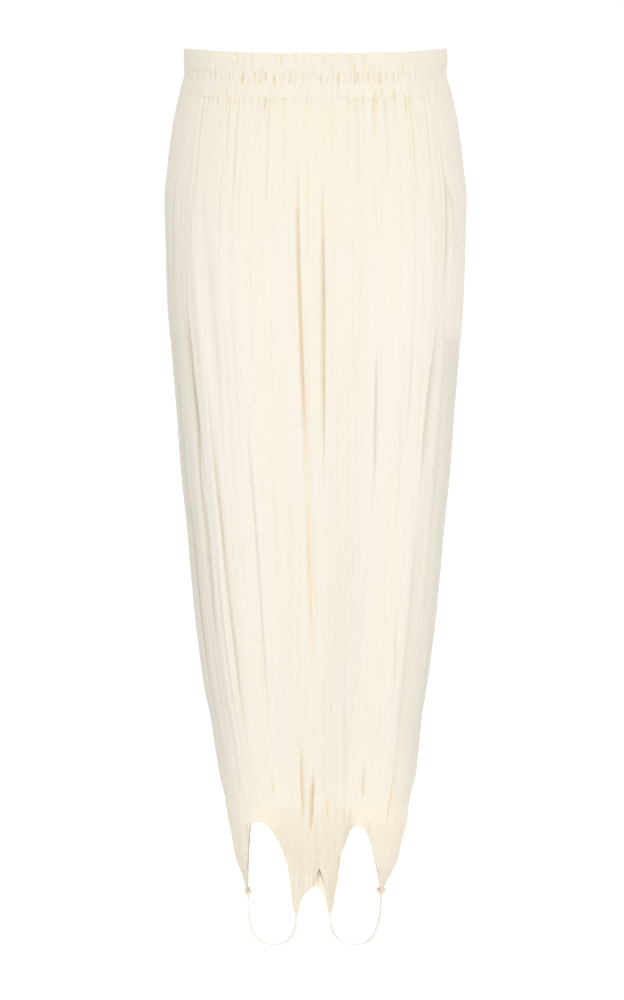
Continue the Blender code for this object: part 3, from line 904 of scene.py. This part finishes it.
def tube(name, rings, cloth, material, fold=None):
    """A closed piece through rings of points, with flat ends."""
    count, around = rings.shape[:2]
    points = rings.reshape(-1, 3)
    sides = grid_faces(count, around, wrap_columns=True)
    centres = rings[[0, -1]].mean(axis=1)
    points = np.concatenate([points, centres])
    ends = []
    for ring, centre in ((0, count * around), (count - 1, count * around + 1)):
        ids = ring * around + np.arange(around)
        after = np.roll(ids, -1)
        middle = np.full(around, centre)
        order = (ids, middle, middle, after) if ring == 0 else (after, middle, middle, ids)
        ends.append(np.stack(order, axis=1))
    ends = np.concatenate(ends)[:, [0, 1, 3]]
    flat = np.concatenate([cloth.reshape(-1, 3), cloth[[0, -1], 0]])
    painted_shade = np.zeros(len(points)) if fold is None else np.append(fold.ravel(), [0, 0])
    triangles = np.concatenate([sides[:, [0, 1, 2]], sides[:, [0, 2, 3]], ends])
    attributes = {"cloth": flat, "fold": painted_shade, "lining": np.zeros(len(points))}
    return new_mesh(name, points, face_outwards(points, triangles), attributes, material)


class Socket:
    """A shader output that takes part in sums, each of which adds a Math node."""

    def __init__(self, graph, socket):
        self.graph = graph
        self.socket = socket

    def __add__(self, other):
        return self.graph.sum("ADD", self, other)

    def __sub__(self, other):
        return self.graph.sum("SUBTRACT", self, other)

    def __mul__(self, other):
        return self.graph.sum("MULTIPLY", self, other)

    def __radd__(self, other):
        return self.graph.sum("ADD", other, self)

    def __rsub__(self, other):
        return self.graph.sum("SUBTRACT", other, self)

    def __rmul__(self, other):
        return self.graph.sum("MULTIPLY", other, self)


VECTOR, FACTOR = 1, 2  # outputs of an Attribute node


class Graph:
    """The nodes of one material."""

    def __init__(self, name):
        self.material = bpy.data.materials.new(name)
        self.material.use_nodes = True
        self.tree = self.material.node_tree
        self.tree.nodes.clear()

    def node(self, kind, settings, inputs, output=0):
        """Adds a node: its settings first, then the values or links of its sockets."""
        made = self.tree.nodes.new(kind)
        for name, value in settings.items():
            setattr(made, name, value)
        for name, value in inputs.items():
            if isinstance(value, Socket):
                self.tree.links.new(value.socket, made.inputs[name])
            else:
                made.inputs[name].default_value = value
        return Socket(self, made.outputs[output]) if len(made.outputs) else None

    def sum(self, operation, a, b):
        return self.node("ShaderNodeMath", {"operation": operation}, {0: a, 1: b})

    def function(self, operation, value):
        return self.node("ShaderNodeMath", {"operation": operation}, {0: value})

    def eased(self, value, start, end):
        """Eases from 0 to 1 as the value goes from start to end."""
        return self.node("ShaderNodeMapRange", {"interpolation_type": "SMOOTHSTEP"},
                         {"Value": value, "From Min": start, "From Max": end})

    def colour(self, share, a, b):
        """Goes from colour a to colour b, which are sockets 6 and 7 of a Mix node."""
        return self.node("ShaderNodeMix", {"data_type": "RGBA"}, {0: share, 6: a, 7: b}, 2)

    def attribute(self, name, output=FACTOR):
        return self.node("ShaderNodeAttribute", {"attribute_name": name}, {}, output)

    def part(self, vector, axis):
        return self.node("ShaderNodeSeparateXYZ", {}, {0: vector}, axis)

    def scaled(self, vector, by):
        settings = {"operation": "MULTIPLY"}
        return self.node("ShaderNodeVectorMath", settings, {0: vector, 1: by})

    def noise(self, vector, scale, detail=2.0):
        """A noise from 0 to 1, stretched by a scale for each axis."""
        stretched = self.scaled(vector, scale)
        inputs = {"Vector": stretched, "Scale": 1.0, "Detail": detail, "Roughness": 0.55}
        return self.node("ShaderNodeTexNoise", {}, inputs)

    def lines(self, vector, scale, start):
        """Thin lines where a stretched noise passes its middle value."""
        beside = self.function("ABSOLUTE", self.noise(vector, scale) * 2.0 - 1.0)
        return self.eased(1.0 - beside, start, 1.0)

    def waves(self, value, length):
        return self.function("SINE", value * (2 * math.pi / length))

    def bump(self, height, distance):
        inputs = {"Height": height, "Distance": distance, "Strength": 1.0}
        return self.node("ShaderNodeBump", {}, inputs)

    def finish(self, colour, roughness, normal, constants):
        """The Principled surface. Its constants are set on the sockets themselves."""
        inputs = {"Base Color": colour, "Roughness": roughness, "Normal": normal, **constants}
        surface = self.node("ShaderNodeBsdfPrincipled", {}, inputs)
        self.node("ShaderNodeOutputMaterial", {}, {"Surface": surface})
        return self.material


def opaque(colour):
    return (*colour, 1.0)


def jersey_material(look):
    """Fine knit jersey: knitted columns, drawn-out wrinkles, painted shade in its folds, wrinkles
    and sides, warmer painted shade deep in the central folds, and painted light in the shallow
    central folds and low on the legs.
    """
    graph = Graph("jersey_knit")
    cloth = graph.attribute("cloth", VECTOR)
    fold, lining, inside = (graph.attribute(name) for name in ("fold", "lining", "inside"))
    across, down = graph.part(cloth, 0), graph.part(cloth, 1)
    aside = graph.function("ABSOLUTE", across)

    knit = graph.waves(across, look.wale) * graph.waves(down, look.course)
    fine = graph.lines(cloth, FINE_LINES, FINE_FROM)
    long = graph.lines(cloth, LONG_LINES, LONG_FROM)
    drags = graph.noise(cloth, DRAGS)
    height = drags * DRAGS_HIGH - fine * FINE_DEEP - long * LONG_DEEP + knit * KNIT_HIGH
    normal = graph.bump(height, look.wrinkle)

    mottle = graph.eased(graph.noise(cloth, MOTTLES, detail=3.0), *MOTTLE)
    bagged = lining * graph.eased(across, *LEFT_HALF)
    beside_bag = graph.eased(down, *BESIDE_BAG_DOWN) * graph.eased(across, *BESIDE_BAG_ACROSS)
    # Painted shade towards the side seams, where the body rounds away from the light; none over
    # the pocket bag and less beside it
    outer = graph.eased(aside, *SIDE_ZONE) * (1.0 - bagged) * (1.0 - beside_bag * BAG_KEEPS)
    outer = outer * (SIDE_SHARE + SIDE_GAINS * graph.eased(down, *SIDE_BELOW))
    colour = graph.colour(mottle, opaque(look.cream), opaque(look.cool))
    colour = graph.colour(outer, colour, opaque(look.side))
    colour = graph.colour(bagged * BAG_SHOWS, colour, opaque(look.cream))
    # Darker towards the waist
    colour = graph.colour(graph.eased(down, *UPPER_ZONE), colour, opaque(look.high))
    # Painted light: paler and pinker low on the legs and between the feet, lifting the shade
    # there
    colour = graph.colour(graph.eased(down, *LOWER_ZONE), colour, opaque(look.low))

    # Painted shade for the folds: warm near the centre, the waist and the hem, greyer elsewhere
    centre = graph.eased(aside, *CENTRE_ZONE)
    ends = (1.0 - graph.eased(down, *WAIST_ZONE)) * (1.0 - graph.eased(down, *HEM_ZONE))
    painted_fold_shade = graph.colour((1.0 - centre) * ends, opaque(look.warm_painted_shade), opaque(look.painted_shade))
    # Painted shade along the troughs of the fine and long wrinkles
    colour = graph.colour(fine * FINE_SHOWS + long * LONG_SHOWS, colour, painted_fold_shade)
    # Painted warm light in the shallow folds near the centre, below the waistband
    painted_glow = graph.eased(fold, *GLOW_FOLD) * centre * (1.0 - graph.eased(down, *BAND_ZONE))
    colour = graph.colour(painted_glow, colour, opaque(look.painted_glow))
    # Painted shade deep in the folds, by how deep the cloth lies in them
    fold_shade_mask = fold * (1.0 - centre) + graph.eased(fold, *SUNK_FOLD) * centre
    colour = graph.colour(fold_shade_mask * SUNK_SHOWS, colour, painted_fold_shade)
    colour = graph.colour(inside, colour, opaque(look.inside))
    through = inside * (UPPER_LIT + (1 - UPPER_LIT) * graph.eased(down, *INSIDE_HEM))
    glimmer = graph.colour(through, opaque((0.0, 0.0, 0.0)), opaque(look.inside))
    return graph.finish(colour, JERSEY_ROUGH + drags * DRAGS_ROUGH, normal, {
        "Emission Color": glimmer, "Emission Strength": look.through,
        "Sheen Weight": SHEEN, "Sheen Roughness": 0.4,
    })


def elastic_material(look):
    """Off-white ribbed elastic."""
    graph = Graph("strap_elastic_ribs")
    cloth = graph.attribute("cloth", VECTOR)
    ribs = graph.waves(graph.part(cloth, 0), RIB)
    threads = graph.waves(graph.part(cloth, 1), THREAD)
    specks = graph.noise(cloth, SPECKS)
    normal = graph.bump(ribs * 0.5 + threads * 0.25 + specks * 0.4, ELASTIC_RELIEF)
    darker = [SPECK_DARKENS * value for value in look.strap]
    colour = graph.colour(specks, opaque(look.strap), opaque(darker))
    return graph.finish(colour, 0.72 + specks * 0.1, normal, {"Sheen Weight": 0.1})


def floor_material(look):
    """A pale floor, barely mottled."""
    graph = Graph("pale_floor")
    place = graph.node("ShaderNodeNewGeometry", {}, {})
    specks = graph.noise(place, (2.0, 2.0, 2.0))
    paler = [min(1.0, 1.01 * value) for value in look.floor]
    colour = graph.colour(specks, opaque(look.floor), opaque(paler))
    flat = graph.bump(specks, 0.00001)
    return graph.finish(colour, 0.9 + specks * 0.02, flat, {"Specular IOR Level": 0.1})


def band_profile():
    """The band's section as a closed line: downs, and depths below its face."""
    half = BAND_WALL / 2
    turn = np.linspace(0, math.pi, BAND_END_ROWS + 2)[1:-1]
    outer = np.linspace(half, BAND_DEEP - BAND_CORNER, BAND_OUTER_ROWS)
    inner = np.linspace(BAND_DEEP - BAND_CORNER, half, BAND_INNER_ROWS)
    downs = [outer, (BAND_DEEP, BAND_DEEP), inner, half - half * np.sin(turn)]
    depths = [0 * outer, (BAND_CORNER, BAND_WALL - BAND_CORNER), 0 * inner + BAND_WALL,
              half + half * np.cos(turn)]
    return np.concatenate(downs), np.concatenate(depths)


def band_detail(face, place, down, strength):
    """Heights of the band's puckers, stitched dashes and fine wrinkles, and the painted shade of
    its troughs.
    """
    chance = random.Random(f"band {face} {SEED}")
    length = half_length(face, down)
    height, deep = np.zeros_like(down), np.zeros_like(down)

    def sink(at, start, end, kind):
        half_width = chance.uniform(*kind.half_width)
        depth = chance.uniform(*kind.depth)
        run = (down - start) / (end - start)
        fade = step(np.minimum(run, 1 - run) / kind.tip) * (run > 0) * (run < 1)
        off = (place * length - at * length) / half_width
        trough = depth * (np.exp(-(np.abs(off) ** SHARP)) * fade)
        height[:] -= trough
        deep[:] += np.maximum(trough, 0) * kind.coloured

    shift = 0.0 if face == "front" else BACK_SHIFT
    for share in [*DASHES, *both_sides(SIDE_DASHES)]:
        at = share + chance.uniform(-shift, shift)
        start = DASH_ROW[0] + chance.uniform(*DASH_STARTS)
        sink(at, start, DASH_ROW[1] + chance.uniform(*DASH_ENDS), DASH)
    for share in [*PUCKERS, *both_sides(SIDE_PUCKERS)]:
        at = share + chance.uniform(-shift, shift)
        start = PUCKER_TOP + chance.uniform(-PUCKER_TOP_VARIES, PUCKER_TOP_VARIES)
        sink(at, start, PUCKER_END, PUCKER)
    for _ in range(WRINKLES):
        at = chance.uniform(-1, 1)
        start = chance.uniform(*WRINKLE_STARTS)
        sink(at, start, start + chance.uniform(*WRINKLE_LENGTHS), WRINKLE)
    return height * strength, np.clip(deep / FULLY_COLOURED, 0, 1)


def make_waistband(sizes, material):
    """One ring of both faces, whose section runs down the outside and up the inside."""
    downs, depths = band_profile()
    quarter = BAND_COLUMNS // 4
    run = np.linspace(-1, 1, 2 * quarter + 1)[:-1]
    on_face = 1 - depths[:, None] / BAND_WALL
    parts = []
    for face, places in (("front", run), ("back", -run)):
        place = np.broadcast_to(places[None, :], (len(downs), len(places)))
        down = np.broadcast_to(downs[:, None], place.shape)
        point, outward = on_body(face, place, down)
        detail, fold = band_detail(face, place, down, sizes.gather)
        detail = detail * (INNER_SHARE + (1 - INNER_SHARE) * on_face)
        height = curve(BAND_RINGS, "out", down) + detail - depths[:, None]
        wavy = sum(np.sin(math.pi * place * turns + turns) for turns in EDGE_TURNS)
        sags = EDGE_WAVE * wavy * step((down - EDGE_WAVE_FROM) / EDGE_WAVE_RUN)
        point[..., 2] = tilt(down, point[..., 1]) - down - sags
        flat = np.stack([place * CLOTH_HALF_WIDE, down, 0 * down], axis=-1)
        parts.append((point + outward * height[..., None], flat, fold * on_face))
    points, flat, fold = (np.concatenate(values, axis=1) for values in zip(*parts))
    faces = grid_faces(len(downs), points.shape[1], wrap_rows=True, wrap_columns=True)
    points = points.reshape(-1, 3)
    attributes = {
        "cloth": flat.reshape(-1, 3), "fold": fold.ravel(), "lining": 0 * fold.ravel(),
    }
    band = new_mesh("waistband_gathered", points, face_outwards(points, faces), attributes,
                    material)
    dress(band, "waistband")


def slice_cloth(cloth, columns):
    """Some columns of a cloth."""
    return Cloth(*(values[:, columns] for values in cloth))


def make_panels(sizes, material):
    """The four panels are halves of the front and of the back, so their seams meet."""
    for face in FACES:
        cloth = body_face(face, sizes.crease)
        middle = COLUMNS[face]
        halves = {"right": slice(0, middle + 1), "left": slice(middle, None)}
        for leg in LEGS:
            name = f"leg_{face}_{leg}"
            panel = shell(f"{name}_jersey", slice_cloth(cloth, halves[leg]), sizes.wall, material)
            dress(panel, name)


def lapped(bag, side):
    """The bag with a lap that closes its mouth and reaches in behind the back's edge."""
    edge = 0 if side < 0 else -1
    reach = mouth_gap("front", bag.flat[:, edge, 1]) + BAG_LAPS
    laps = []
    for share in LAP_STEPS:
        lap = Cloth(*(values[:, edge].copy() for values in bag))
        lap.outer[:, 1] += share * reach
        lap.flat[:, 0] += side * share * reach
        laps.append(lap)
    if side < 0:
        laps.reverse()
    columns = [Cloth(*(values[:, None] for values in lap)) for lap in laps]
    order = [*columns, bag] if side < 0 else [bag, *columns]
    return Cloth(*(np.concatenate(values, axis=1) for values in zip(*order)))


def make_pocket(leg, sizes, material):
    """The bag hangs flat behind the front, whose folds it follows."""
    cloth = body_face("front", sizes.crease)
    side = -1 if leg == "right" else 1
    columns = np.flatnonzero(1 - side * cloth.place[0] <= BAG_SHARE)
    down = cloth.flat[:, columns[0], 1]
    rows = np.flatnonzero((down > BAG_TOP) & (down < BAG_BOTTOM))
    bag = Cloth(*(values[rows][:, columns] for values in cloth))
    bag = bag._replace(outer=bag.outer - bag.normal * (sizes.wall + BAG_BEHIND))
    bag = lapped(bag, side)
    obj = shell(f"pocket_{leg}_bag", bag, BAG_WALL, material)
    dress(obj, f"pocket_{leg}")


def strap_ends(leg):
    """How far down the strap starts at its outer and its inner end, and its lowest point."""
    tack_low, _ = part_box(f"tack_{leg}")
    tip_low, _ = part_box(f"leg_front_{leg}")
    strap_low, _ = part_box(f"strap_{leg}")
    return -tack_low.z + SEAM_GAP, -tip_low.z + SEAM_GAP, -strap_low.z - STRAP_THICK / 2


def strap_line(leg, ends, share):
    """The middle of the strap, as a full loop from the outer point to the inner one."""
    outer, inner, lowest = ends
    (x1, y1), (x2, y2) = OUTER_POINT[leg], INNER_POINT[leg]
    across, low = rounded(math.pi * share, STRAP_FULLNESS)
    mix = (1 - across) / 2
    start = outer + (inner - outer) * mix
    return Vector((x1 + (x2 - x1) * mix, y1 + (y2 - y1) * mix, -(start + (lowest - start) * low)))


def make_strap(leg, material):
    """A flat elastic with rounded edges, swept along its loop and turned as it goes."""
    ends = strap_ends(leg)
    corner = np.linspace(0, math.pi / 2, STRAP_EDGE_STEPS)
    wide, thick = STRAP_WIDE / 2, STRAP_THICK / 2
    quarter = np.stack([wide - thick + thick * np.cos(corner), thick * np.sin(corner)], axis=1)
    flats = [quarter, quarter[::-1] * (-1, 1), -quarter, quarter[::-1] * (1, -1)]
    outline = np.concatenate(flats)
    rings, flat = [], []
    along = 0.0
    last = None
    for i in range(STRAP_STEPS + 1):
        share = i / STRAP_STEPS
        middle = strap_line(leg, ends, share)
        after = strap_line(leg, ends, min(share + STRAP_LOOK_AHEAD, 1.0))
        ahead = after - strap_line(leg, ends, max(share - STRAP_LOOK_AHEAD, 0.0))
        turn = math.radians(float(curve(STRAP_TURNS, "degrees", share, "share")))
        normal = ahead.cross(Vector((-math.sin(turn), math.cos(turn), 0.0))).normalized()
        broad = normal.cross(ahead).normalized()
        rings.append([middle + broad * u + normal * v for u, v in outline])
        along += (middle - last).length if last else 0.0
        last = middle
        flat.append([(u, along, 0.0) for u, _ in outline])
    strap = tube(f"strap_{leg}_elastic", np.array(rings), np.array(flat), material)
    dress(strap, f"strap_{leg}")


def make_tack(leg, material):
    """Cloth drawn together and stitched, with a ragged frill and the strap sewn in."""
    low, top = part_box(f"tack_{leg}")
    middle = (low + top) / 2
    size = (top - low) / 2
    chance = random.Random(f"tack {leg} {SEED}")
    turns = [chance.uniform(0, 2 * math.pi) for _ in range(4)]
    angle = np.linspace(0, 2 * math.pi, TACK_AROUND, endpoint=False)[None, :]
    run = np.linspace(0, 1, TACK_ROWS)[:, None]
    start, end = FRILL_RUN
    frill = np.sin(math.pi * np.clip((run - start) / (end - start), 0, 1)) ** FRILL_SHARP
    lobes = sum(row.high * np.sin(row.count * angle + turn + row.twist * run)
                for row, turn in zip(LOBES, turns))
    stem = TACK_STEM[0] - (TACK_STEM[0] - TACK_STEM[1]) * run
    radius = stem + FRILL_OUT * frill * (1 + LOBES_OUT * lobes)
    x = middle.x + size.x * TACK_BROADER[leg] * radius * np.cos(angle)
    y = middle.y + size.y * radius * np.sin(angle)
    ragged = sum(high * np.sin(count * angle + turns[which]) for count, high, which in RAGGED)
    z = top.z + TACK_RISES - (2 * size.z + TACK_RISES) * run + ragged * frill
    rings = np.stack([x, y, z], axis=-1)
    fold = np.clip(-lobes * 0.5, 0, 1) * FRILL_SHADE * frill
    flat = [angle * size.x + 0 * run, TACK_DOWN + 0.01 * run + 0 * angle, 0 * run + 0 * angle]
    tack = tube(f"tack_{leg}_frill", rings, np.stack(flat, -1), material, fold)
    dress(tack, f"tack_{leg}")


def add_light(name, softbox, energy, target):
    """A round softbox that faces its target."""
    light = bpy.data.lights.new(name, "AREA")
    light.shape = "DISK"
    light.size = softbox.size
    light.energy = energy
    light.color = softbox.colour
    obj = bpy.data.objects.new(name, light)
    obj.location = softbox.place
    direction = Vector(target) - Vector(softbox.place)
    obj.rotation_euler = direction.to_track_quat("-Z", "Y").to_euler()
    bpy.context.scene.collection.objects.link(obj)


def make_stage(stage):
    """Floor, surroundings, softboxes and the camera at the photo's angle."""
    half = FLOOR_SIZE / 2
    low = CAD_BOX[0].z - FLOOR_BELOW
    square = ((-half, -half), (half, -half), (half, half), (-half, half))
    corners = np.array([(x, y, low) for x, y in square])
    floor = new_mesh("studio_floor", corners, np.array([[0, 1, 2, 3]]), {},
                     floor_material(stage))

    scene = bpy.context.scene
    world = bpy.data.worlds.new("studio")
    world.use_nodes = True
    background = world.node_tree.nodes["Background"]
    background.inputs["Color"].default_value = opaque(stage.surround)
    background.inputs["Strength"].default_value = stage.surround_strength
    scene.world = world

    middle = (CAD_BOX[0] + CAD_BOX[1]) / 2
    for name, softbox in SOFTBOXES.items():
        add_light(f"{name}_softbox", softbox, getattr(stage, name), middle)

    camera = bpy.data.cameras.new("studio_camera")
    camera.lens = CAMERA_LENS
    camera.sensor_width = CAMERA_SENSOR
    camera.clip_end = CAMERA_SEES
    obj = bpy.data.objects.new("studio_camera", camera)
    obj.location = CAMERA_PLACE
    obj.rotation_euler = (math.pi / 2, 0.0, 0.0)
    scene.collection.objects.link(obj)
    scene.camera = obj
    scene.view_settings.view_transform = "Standard"


def length_choice(name, description, default, **limits):
    return FloatProperty(name=name, description=description, default=default, unit="LENGTH",
                         **limits)


def cut_choice(name, description, default):
    return FloatVectorProperty(name=name, description=description, default=default, size=2,
                               unit="LENGTH")


def height_choice(name, description):
    return FloatProperty(name=name, description=description, default=1.0, min=0.0, max=1.5,
                         subtype="FACTOR")


def colour_choice(name, description, default):
    return FloatVectorProperty(name=name, description=description, default=default, size=3,
                               subtype="COLOR", min=0.0, max=1.0)


def power_choice(name, description, default):
    return FloatProperty(name=name, description=description, default=default, min=0.0,
                         unit="POWER")


class ClothSizes(bpy.types.PropertyGroup):
    """Sizes of the cloth and of its folds."""

    wall: length_choice("Cloth wall", "Thickness of the jersey", 0.0007, min=0.0003, max=0.0014)
    crease: height_choice("Creases", "Share of the creases' full height")
    gather: height_choice("Waistband gathers", "Share of the gathers' full height")
    panel_cut: cut_choice(
        "Panel cut", "Width and length that each panel is cut to", (0.30, 0.99),
    )
    panel_area: FloatProperty(
        name="Panel area", description="Flat area of each panel's tapered cut",
        default=0.245, unit="AREA",
    )
    band_cut: cut_choice(
        "Waistband cut", "Length and depth of the doubled waistband strip", (1.05, 0.058),
    )
    bag_cut: cut_choice("Pocket bag cut", "Width and length of a pocket bag", (0.095, 0.28))


class ClothLook(bpy.types.PropertyGroup):
    """Colours, painted shade, painted light and knit of the cloth."""

    cream: colour_choice("Cream", "Main colour of the jersey", (0.643, 0.600, 0.507))
    cool: colour_choice(
        "Cool cream", "Colour of the jersey's cooler streaks", (0.637, 0.602, 0.522),
    )
    # Painted shade deep in the folds towards the sides
    painted_shade: colour_choice(
        "Fold colour", "Colour deep in the folds of the sides", (0.470, 0.415, 0.322),
    )
    # Warm painted shade deep in the folds near the centre, the waist and the hem
    warm_painted_shade: colour_choice(
        "Warm fold colour", "Colour deep in the folds near the centre", (0.650, 0.550, 0.370),
    )
    # Painted warm light in the shallow central folds
    painted_glow: colour_choice(
        "Glow of the central folds", "Colour of the shallow central folds",
        (0.690, 0.600, 0.445),
    )
    # Darker colour towards the waist
    high: colour_choice(
        "Upper colour", "Colour of the thicker cloth at the waist", (0.618, 0.577, 0.486),
    )
    # Painted light: paler and pinker colour low on the legs and between the feet, lifting the
    # shade there
    low: colour_choice(
        "Lower colour", "Colour of the thin doubled cloth between the feet",
        (0.687, 0.625, 0.512),
    )
    # Painted shade: cooler and darker towards the side seams, where the body rounds away from the
    # light
    side: colour_choice(
        "Side colour", "Cooler colour of the cloth towards the side seams",
        (0.560, 0.530, 0.445),
    )
    inside: colour_choice(
        "Inner colour", "Colour of the cloth's inner side, lit through it",
        (0.740, 0.665, 0.545),
    )
    through: FloatProperty(
        name="Light through the cloth", description="How much light comes through to the inside",
        default=0.13, min=0.0,
    )
    strap: colour_choice("Strap colour", "Off-white of the elastic", (0.800, 0.785, 0.730))
    wale: length_choice("Wale", "Width of one knitted column", 0.0009, min=0.0003)
    course: length_choice("Course", "Height of one knitted row", 0.0007, min=0.0003)
    wrinkle: length_choice("Wrinkle height", "Height of the finest wrinkles", 0.0004, min=0.0)


class StageLook(bpy.types.PropertyGroup):
    """Floor, surroundings and light of the studio."""

    floor: colour_choice("Floor", "Colour of the floor", (0.96, 0.96, 0.96))
    surround: colour_choice(
        "Surroundings", "Colour of the studio's walls", (0.955, 0.972, 1.0),
    )
    surround_strength: FloatProperty(
        name="Surroundings' strength", description="Light that the walls give", default=1.11,
        min=0.0,
    )
    front: power_choice("Front light", "Power of the front softbox", 70.0)
    back: power_choice("Back light", "Power of the back softbox", 50.0)
    top: power_choice("Top light", "Power of the top softbox", 20.0)


def jersey():
    """The jersey, made once and shared by the pieces."""
    found = bpy.data.materials.get("jersey_knit")
    return found or jersey_material(bpy.context.scene.trousers_look)


class TROUSERS_OT_panels(bpy.types.Operator):
    """Make the four panels of the body, with their creases"""

    bl_idname = "trousers.panels"
    bl_label = "Body panels"

    def execute(self, context):
        make_panels(context.scene.trousers_sizes, jersey())
        return {"FINISHED"}


class TROUSERS_OT_waistband(bpy.types.Operator):
    """Make the gathered elastic waistband"""

    bl_idname = "trousers.waistband"
    bl_label = "Waistband"

    def execute(self, context):
        make_waistband(context.scene.trousers_sizes, jersey())
        return {"FINISHED"}


class TROUSERS_OT_pockets(bpy.types.Operator):
    """Make the bags behind the side seam pockets"""

    bl_idname = "trousers.pockets"
    bl_label = "Pocket bags"

    def execute(self, context):
        for leg in LEGS:
            make_pocket(leg, context.scene.trousers_sizes, jersey())
        return {"FINISHED"}


class TROUSERS_OT_straps(bpy.types.Operator):
    """Make the elastic straps under the feet"""

    bl_idname = "trousers.straps"
    bl_label = "Stirrup straps"

    def execute(self, context):
        material = elastic_material(context.scene.trousers_look)
        for leg in LEGS:
            make_strap(leg, material)
        return {"FINISHED"}


class TROUSERS_OT_tacks(bpy.types.Operator):
    """Make the frilled tacks at the outer ankles"""

    bl_idname = "trousers.tacks"
    bl_label = "Tacks"

    def execute(self, context):
        for leg in LEGS:
            make_tack(leg, jersey())
        return {"FINISHED"}


class TROUSERS_OT_stage(bpy.types.Operator):
    """Make the floor, the studio light and the camera"""

    bl_idname = "trousers.stage"
    bl_label = "Studio"

    def execute(self, context):
        make_stage(context.scene.trousers_stage)
        return {"FINISHED"}


OPERATORS = (
    TROUSERS_OT_waistband,
    TROUSERS_OT_panels,
    TROUSERS_OT_pockets,
    TROUSERS_OT_straps,
    TROUSERS_OT_tacks,
    TROUSERS_OT_stage,
)


class TROUSERS_PT_sidebar(bpy.types.Panel):
    """Sizes, colours and operators of the trousers"""

    bl_label = "Stirrup trousers"
    bl_idname = "TROUSERS_PT_sidebar"
    bl_space_type = "VIEW_3D"
    bl_region_type = "UI"
    bl_category = "Trousers"

    def draw(self, context):
        for name in GROUPS:
            group = getattr(context.scene, name)
            box = self.layout.box()
            for key in group.__annotations__:
                box.prop(group, key)
        for operator in OPERATORS:
            self.layout.operator(operator.bl_idname)


GROUPS = {
    "trousers_sizes": ClothSizes,
    "trousers_look": ClothLook,
    "trousers_stage": StageLook,
}


def register():
    for cls in (*GROUPS.values(), *OPERATORS, TROUSERS_PT_sidebar):
        bpy.utils.register_class(cls)
    for name, group in GROUPS.items():
        setattr(bpy.types.Scene, name, PointerProperty(type=group))


def unregister():
    for name in GROUPS:
        delattr(bpy.types.Scene, name)
    for cls in (TROUSERS_PT_sidebar, *reversed(OPERATORS), *GROUPS.values()):
        bpy.utils.unregister_class(cls)


def main():
    register()
    for operator in OPERATORS:
        group, name = operator.bl_idname.split(".")
        getattr(getattr(bpy.ops, group), name)()


if __name__ == "__main__":
    main()
